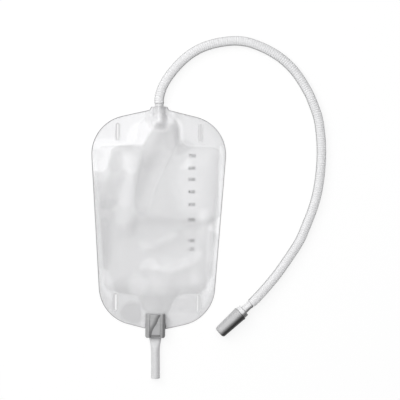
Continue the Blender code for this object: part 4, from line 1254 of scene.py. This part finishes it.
def make_clamp_lever():
    """Glossy lever whose nose pinches the outlet tube against the anvil, and its pad."""
    low, high = OUTLET_X - LEVER_HALF, OUTLET_X + LEVER_HALF
    top_z = CLAMP_HEIGHT - GAP
    under = CLAMP_HEIGHT - LEVER_THICKNESS
    nose_z = CLAMP_FLOOR + ANVIL + GAP + 2 * OUTLET_TUBE_WALL + PINCH_SLIT + GAP
    wall_y = CLAMP_END_Y + END_WALL
    side = rounded([
        (HINGE_Y, top_z, 0.0), (CLAMP_END_Y, top_z, END_WALL / 2),
        (CLAMP_END_Y, END_WALL_FOOT_Z, END_WALL / 3), (wall_y, END_WALL_FOOT_Z, END_WALL / 3),
        (wall_y, under, END_WALL / 3), (PINCH_Y - RIB_HALF, under, 0.0),
        (PINCH_Y - RIB_HALF / 2, nose_z, RIB_HALF / 3),
        (PINCH_Y + RIB_HALF / 2, nose_z, RIB_HALF / 3),
        (PINCH_Y + RIB_HALF, under, 0.0), (HINGE_Y, under, 0.0)])
    mesh = carved("clamp_lever_arm", prism(side, low, high, "X"), [
        ("UNION", hinge_rod(LEVER_HALF, BARREL - GAP)),
        ("UNION", hinge_rod(PIN_REACH, PIN))], CLAMP_BEVEL)
    # The lever arm carries the painted reflection and the painted shadow band
    new_piece(shaded(mesh, pad_shade), "lever", clamp_plastic, "clamp_plastic", "clamp_lever")

    xs = np.linspace(low + PAD_INSET, high - PAD_INSET, PAD_COLUMNS)
    ys = np.linspace(CLAMP_END_Y + 2 * PAD_INSET, CLAMP_TOP_Y - 2 * PAD_INSET, PAD_ROWS)
    x, y = (grid.ravel() for grid in np.meshgrid(xs, ys))
    step = -PAD_STEP * np.tanh(pad_line(x, y) / 0.2)
    edge = np.minimum.reduce([x - xs[0], xs[-1] - x, y - ys[0], ys[-1] - y])
    top = top_z + (PAD_RISE - step) * smoothstep(edge / PAD_EDGE)
    foot = np.full(x.shape, top_z - GAP)
    faces = [[k, k + 1, k + PAD_COLUMNS + 1, k + PAD_COLUMNS]
             for k in range(x.size - PAD_COLUMNS) if (k + 1) % PAD_COLUMNS]
    verts = np.vstack([np.column_stack([x, y, z]) for z in (top, foot)])
    mesh = mesh_of("lever_thumb_pad", verts, shell_faces(faces, x.size), 50)
    # The thumb pad carries the painted reflection along the swept line
    new_piece(shaded(mesh, pad_shade), "lever", clamp_plastic, "clamp_plastic")


def make_scale():
    """Printed volume numbers that follow the front film."""
    for label, y in SCALE_MARKS:
        text = linked("number", changed(
            bpy.data.curves.new("number", "FONT"), body=label, align_x="CENTER",
            align_y="CENTER", size=NUMBER_HEIGHT / DIGIT_SHARE, space_character=NUMBER_SPACING,
            extrude=INK_THICKNESS, offset=INK_SPREAD, resolution_u=6))
        mesh = changed(evaluated(text), name="scale_" + label.strip("–"))
        bpy.data.objects.remove(text, do_unlink=True)
        bm = bmesh.new()
        bm.from_mesh(mesh)
        bmesh.ops.remove_doubles(bm, verts=bm.verts, dist=SAME_PLACE)
        places = np.array([tuple(vert.co) for vert in bm.verts]) + (SCALE_X, y, 0.0)
        places[:, 2] += front_height(places[:, 0], places[:, 1]) + FILM / 2 + INK_LIFT
        for vert, place in zip(bm.verts, places):
            vert.co = place
        bm.to_mesh(mesh)
        bm.free()
        new_piece(mesh, "bag", scale_ink, "clear_film", shadow=False)


# Camera, light and floor

def make_stage():
    """Camera, lamps, room and floor."""
    scene = bpy.context.scene
    scene.view_settings.view_transform = "Standard"
    lens = changed(bpy.data.cameras.new("camera"), sensor_width=SENSOR,
                   lens=SENSOR * CAMERA_HEIGHT / VIEW_WIDTH)
    scene.camera = changed(linked("camera", lens), location=(*VIEW_CENTRE, CAMERA_HEIGHT),
                           rotation_euler=(0.0, 0.0, VIEW_TURN))
    for name, place, size, power in LAMPS:
        lamp = linked(name, changed(bpy.data.lights.new(name, "AREA"), size=size, energy=power))
        aim = Vector((*VIEW_CENTRE, 0.0)) - Vector(place)
        changed(lamp, location=place, rotation_euler=aim.to_track_quat("-Z", "Y").to_euler())

    scene.world = changed(bpy.data.worlds.new("studio"), use_nodes=True)
    tree = scene.world.node_tree
    direction = place_node(tree, "TexCoord").outputs["Generated"]
    lean = place_node(tree, "VectorMath", {0: direction, 1: ROOM_BRIGHT_SIDE},
                      operation="DOT_PRODUCT").outputs["Value"]
    set_inputs(tree, tree.nodes["Background"], {
        "Color": (1.0, 1.0, 1.0, 1.0), "Strength": remap(tree, lean, -0.2, 1.0, *ROOM_LEVELS)})

    mesh = bpy.data.meshes.new("floor")
    mesh.from_pydata([(x * FLOOR_HALF, y * FLOOR_HALF, FLOOR_Z)
                      for x, y in ((-1, -1), (1, -1), (1, 1), (-1, 1))], [], [(0, 1, 2, 3)])
    material, tree = new_material("floor")
    shader = set_inputs(tree, tree.nodes["Principled BSDF"], {
        "Base Color": (0.93, 0.93, 0.93, 1.0), "Roughness": 0.9})
    rays = place_node(tree, "LightPath").outputs
    seen = maths(tree, "MAXIMUM", rays["Is Camera Ray"], rays["Is Transmission Ray"])
    seen = maths(tree, "MAXIMUM", seen, rays["Is Glossy Ray"])
    blend = place_node(tree, "MixShader", {
        0: maths(tree, "MULTIPLY", seen, FLOOR_GLOW), 1: shader.outputs[0],
        2: place_node(tree, "Emission").outputs[0]})
    tree.links.new(blend.outputs[0], tree.nodes["Material Output"].inputs["Surface"])
    mesh.materials.append(material)
    linked("floor", mesh)


make_stage()
drainage_tube, tube_path, tube_length = make_drainage_tube()
stepped_connector = make_connector()
tube_cap = make_cap()
front_piece, back_piece = make_films()
valve_front, valve_back = make_valve()
make_ports()
make_outlet_tube()
make_clamp_base()
make_clamp_lever()
make_scale()
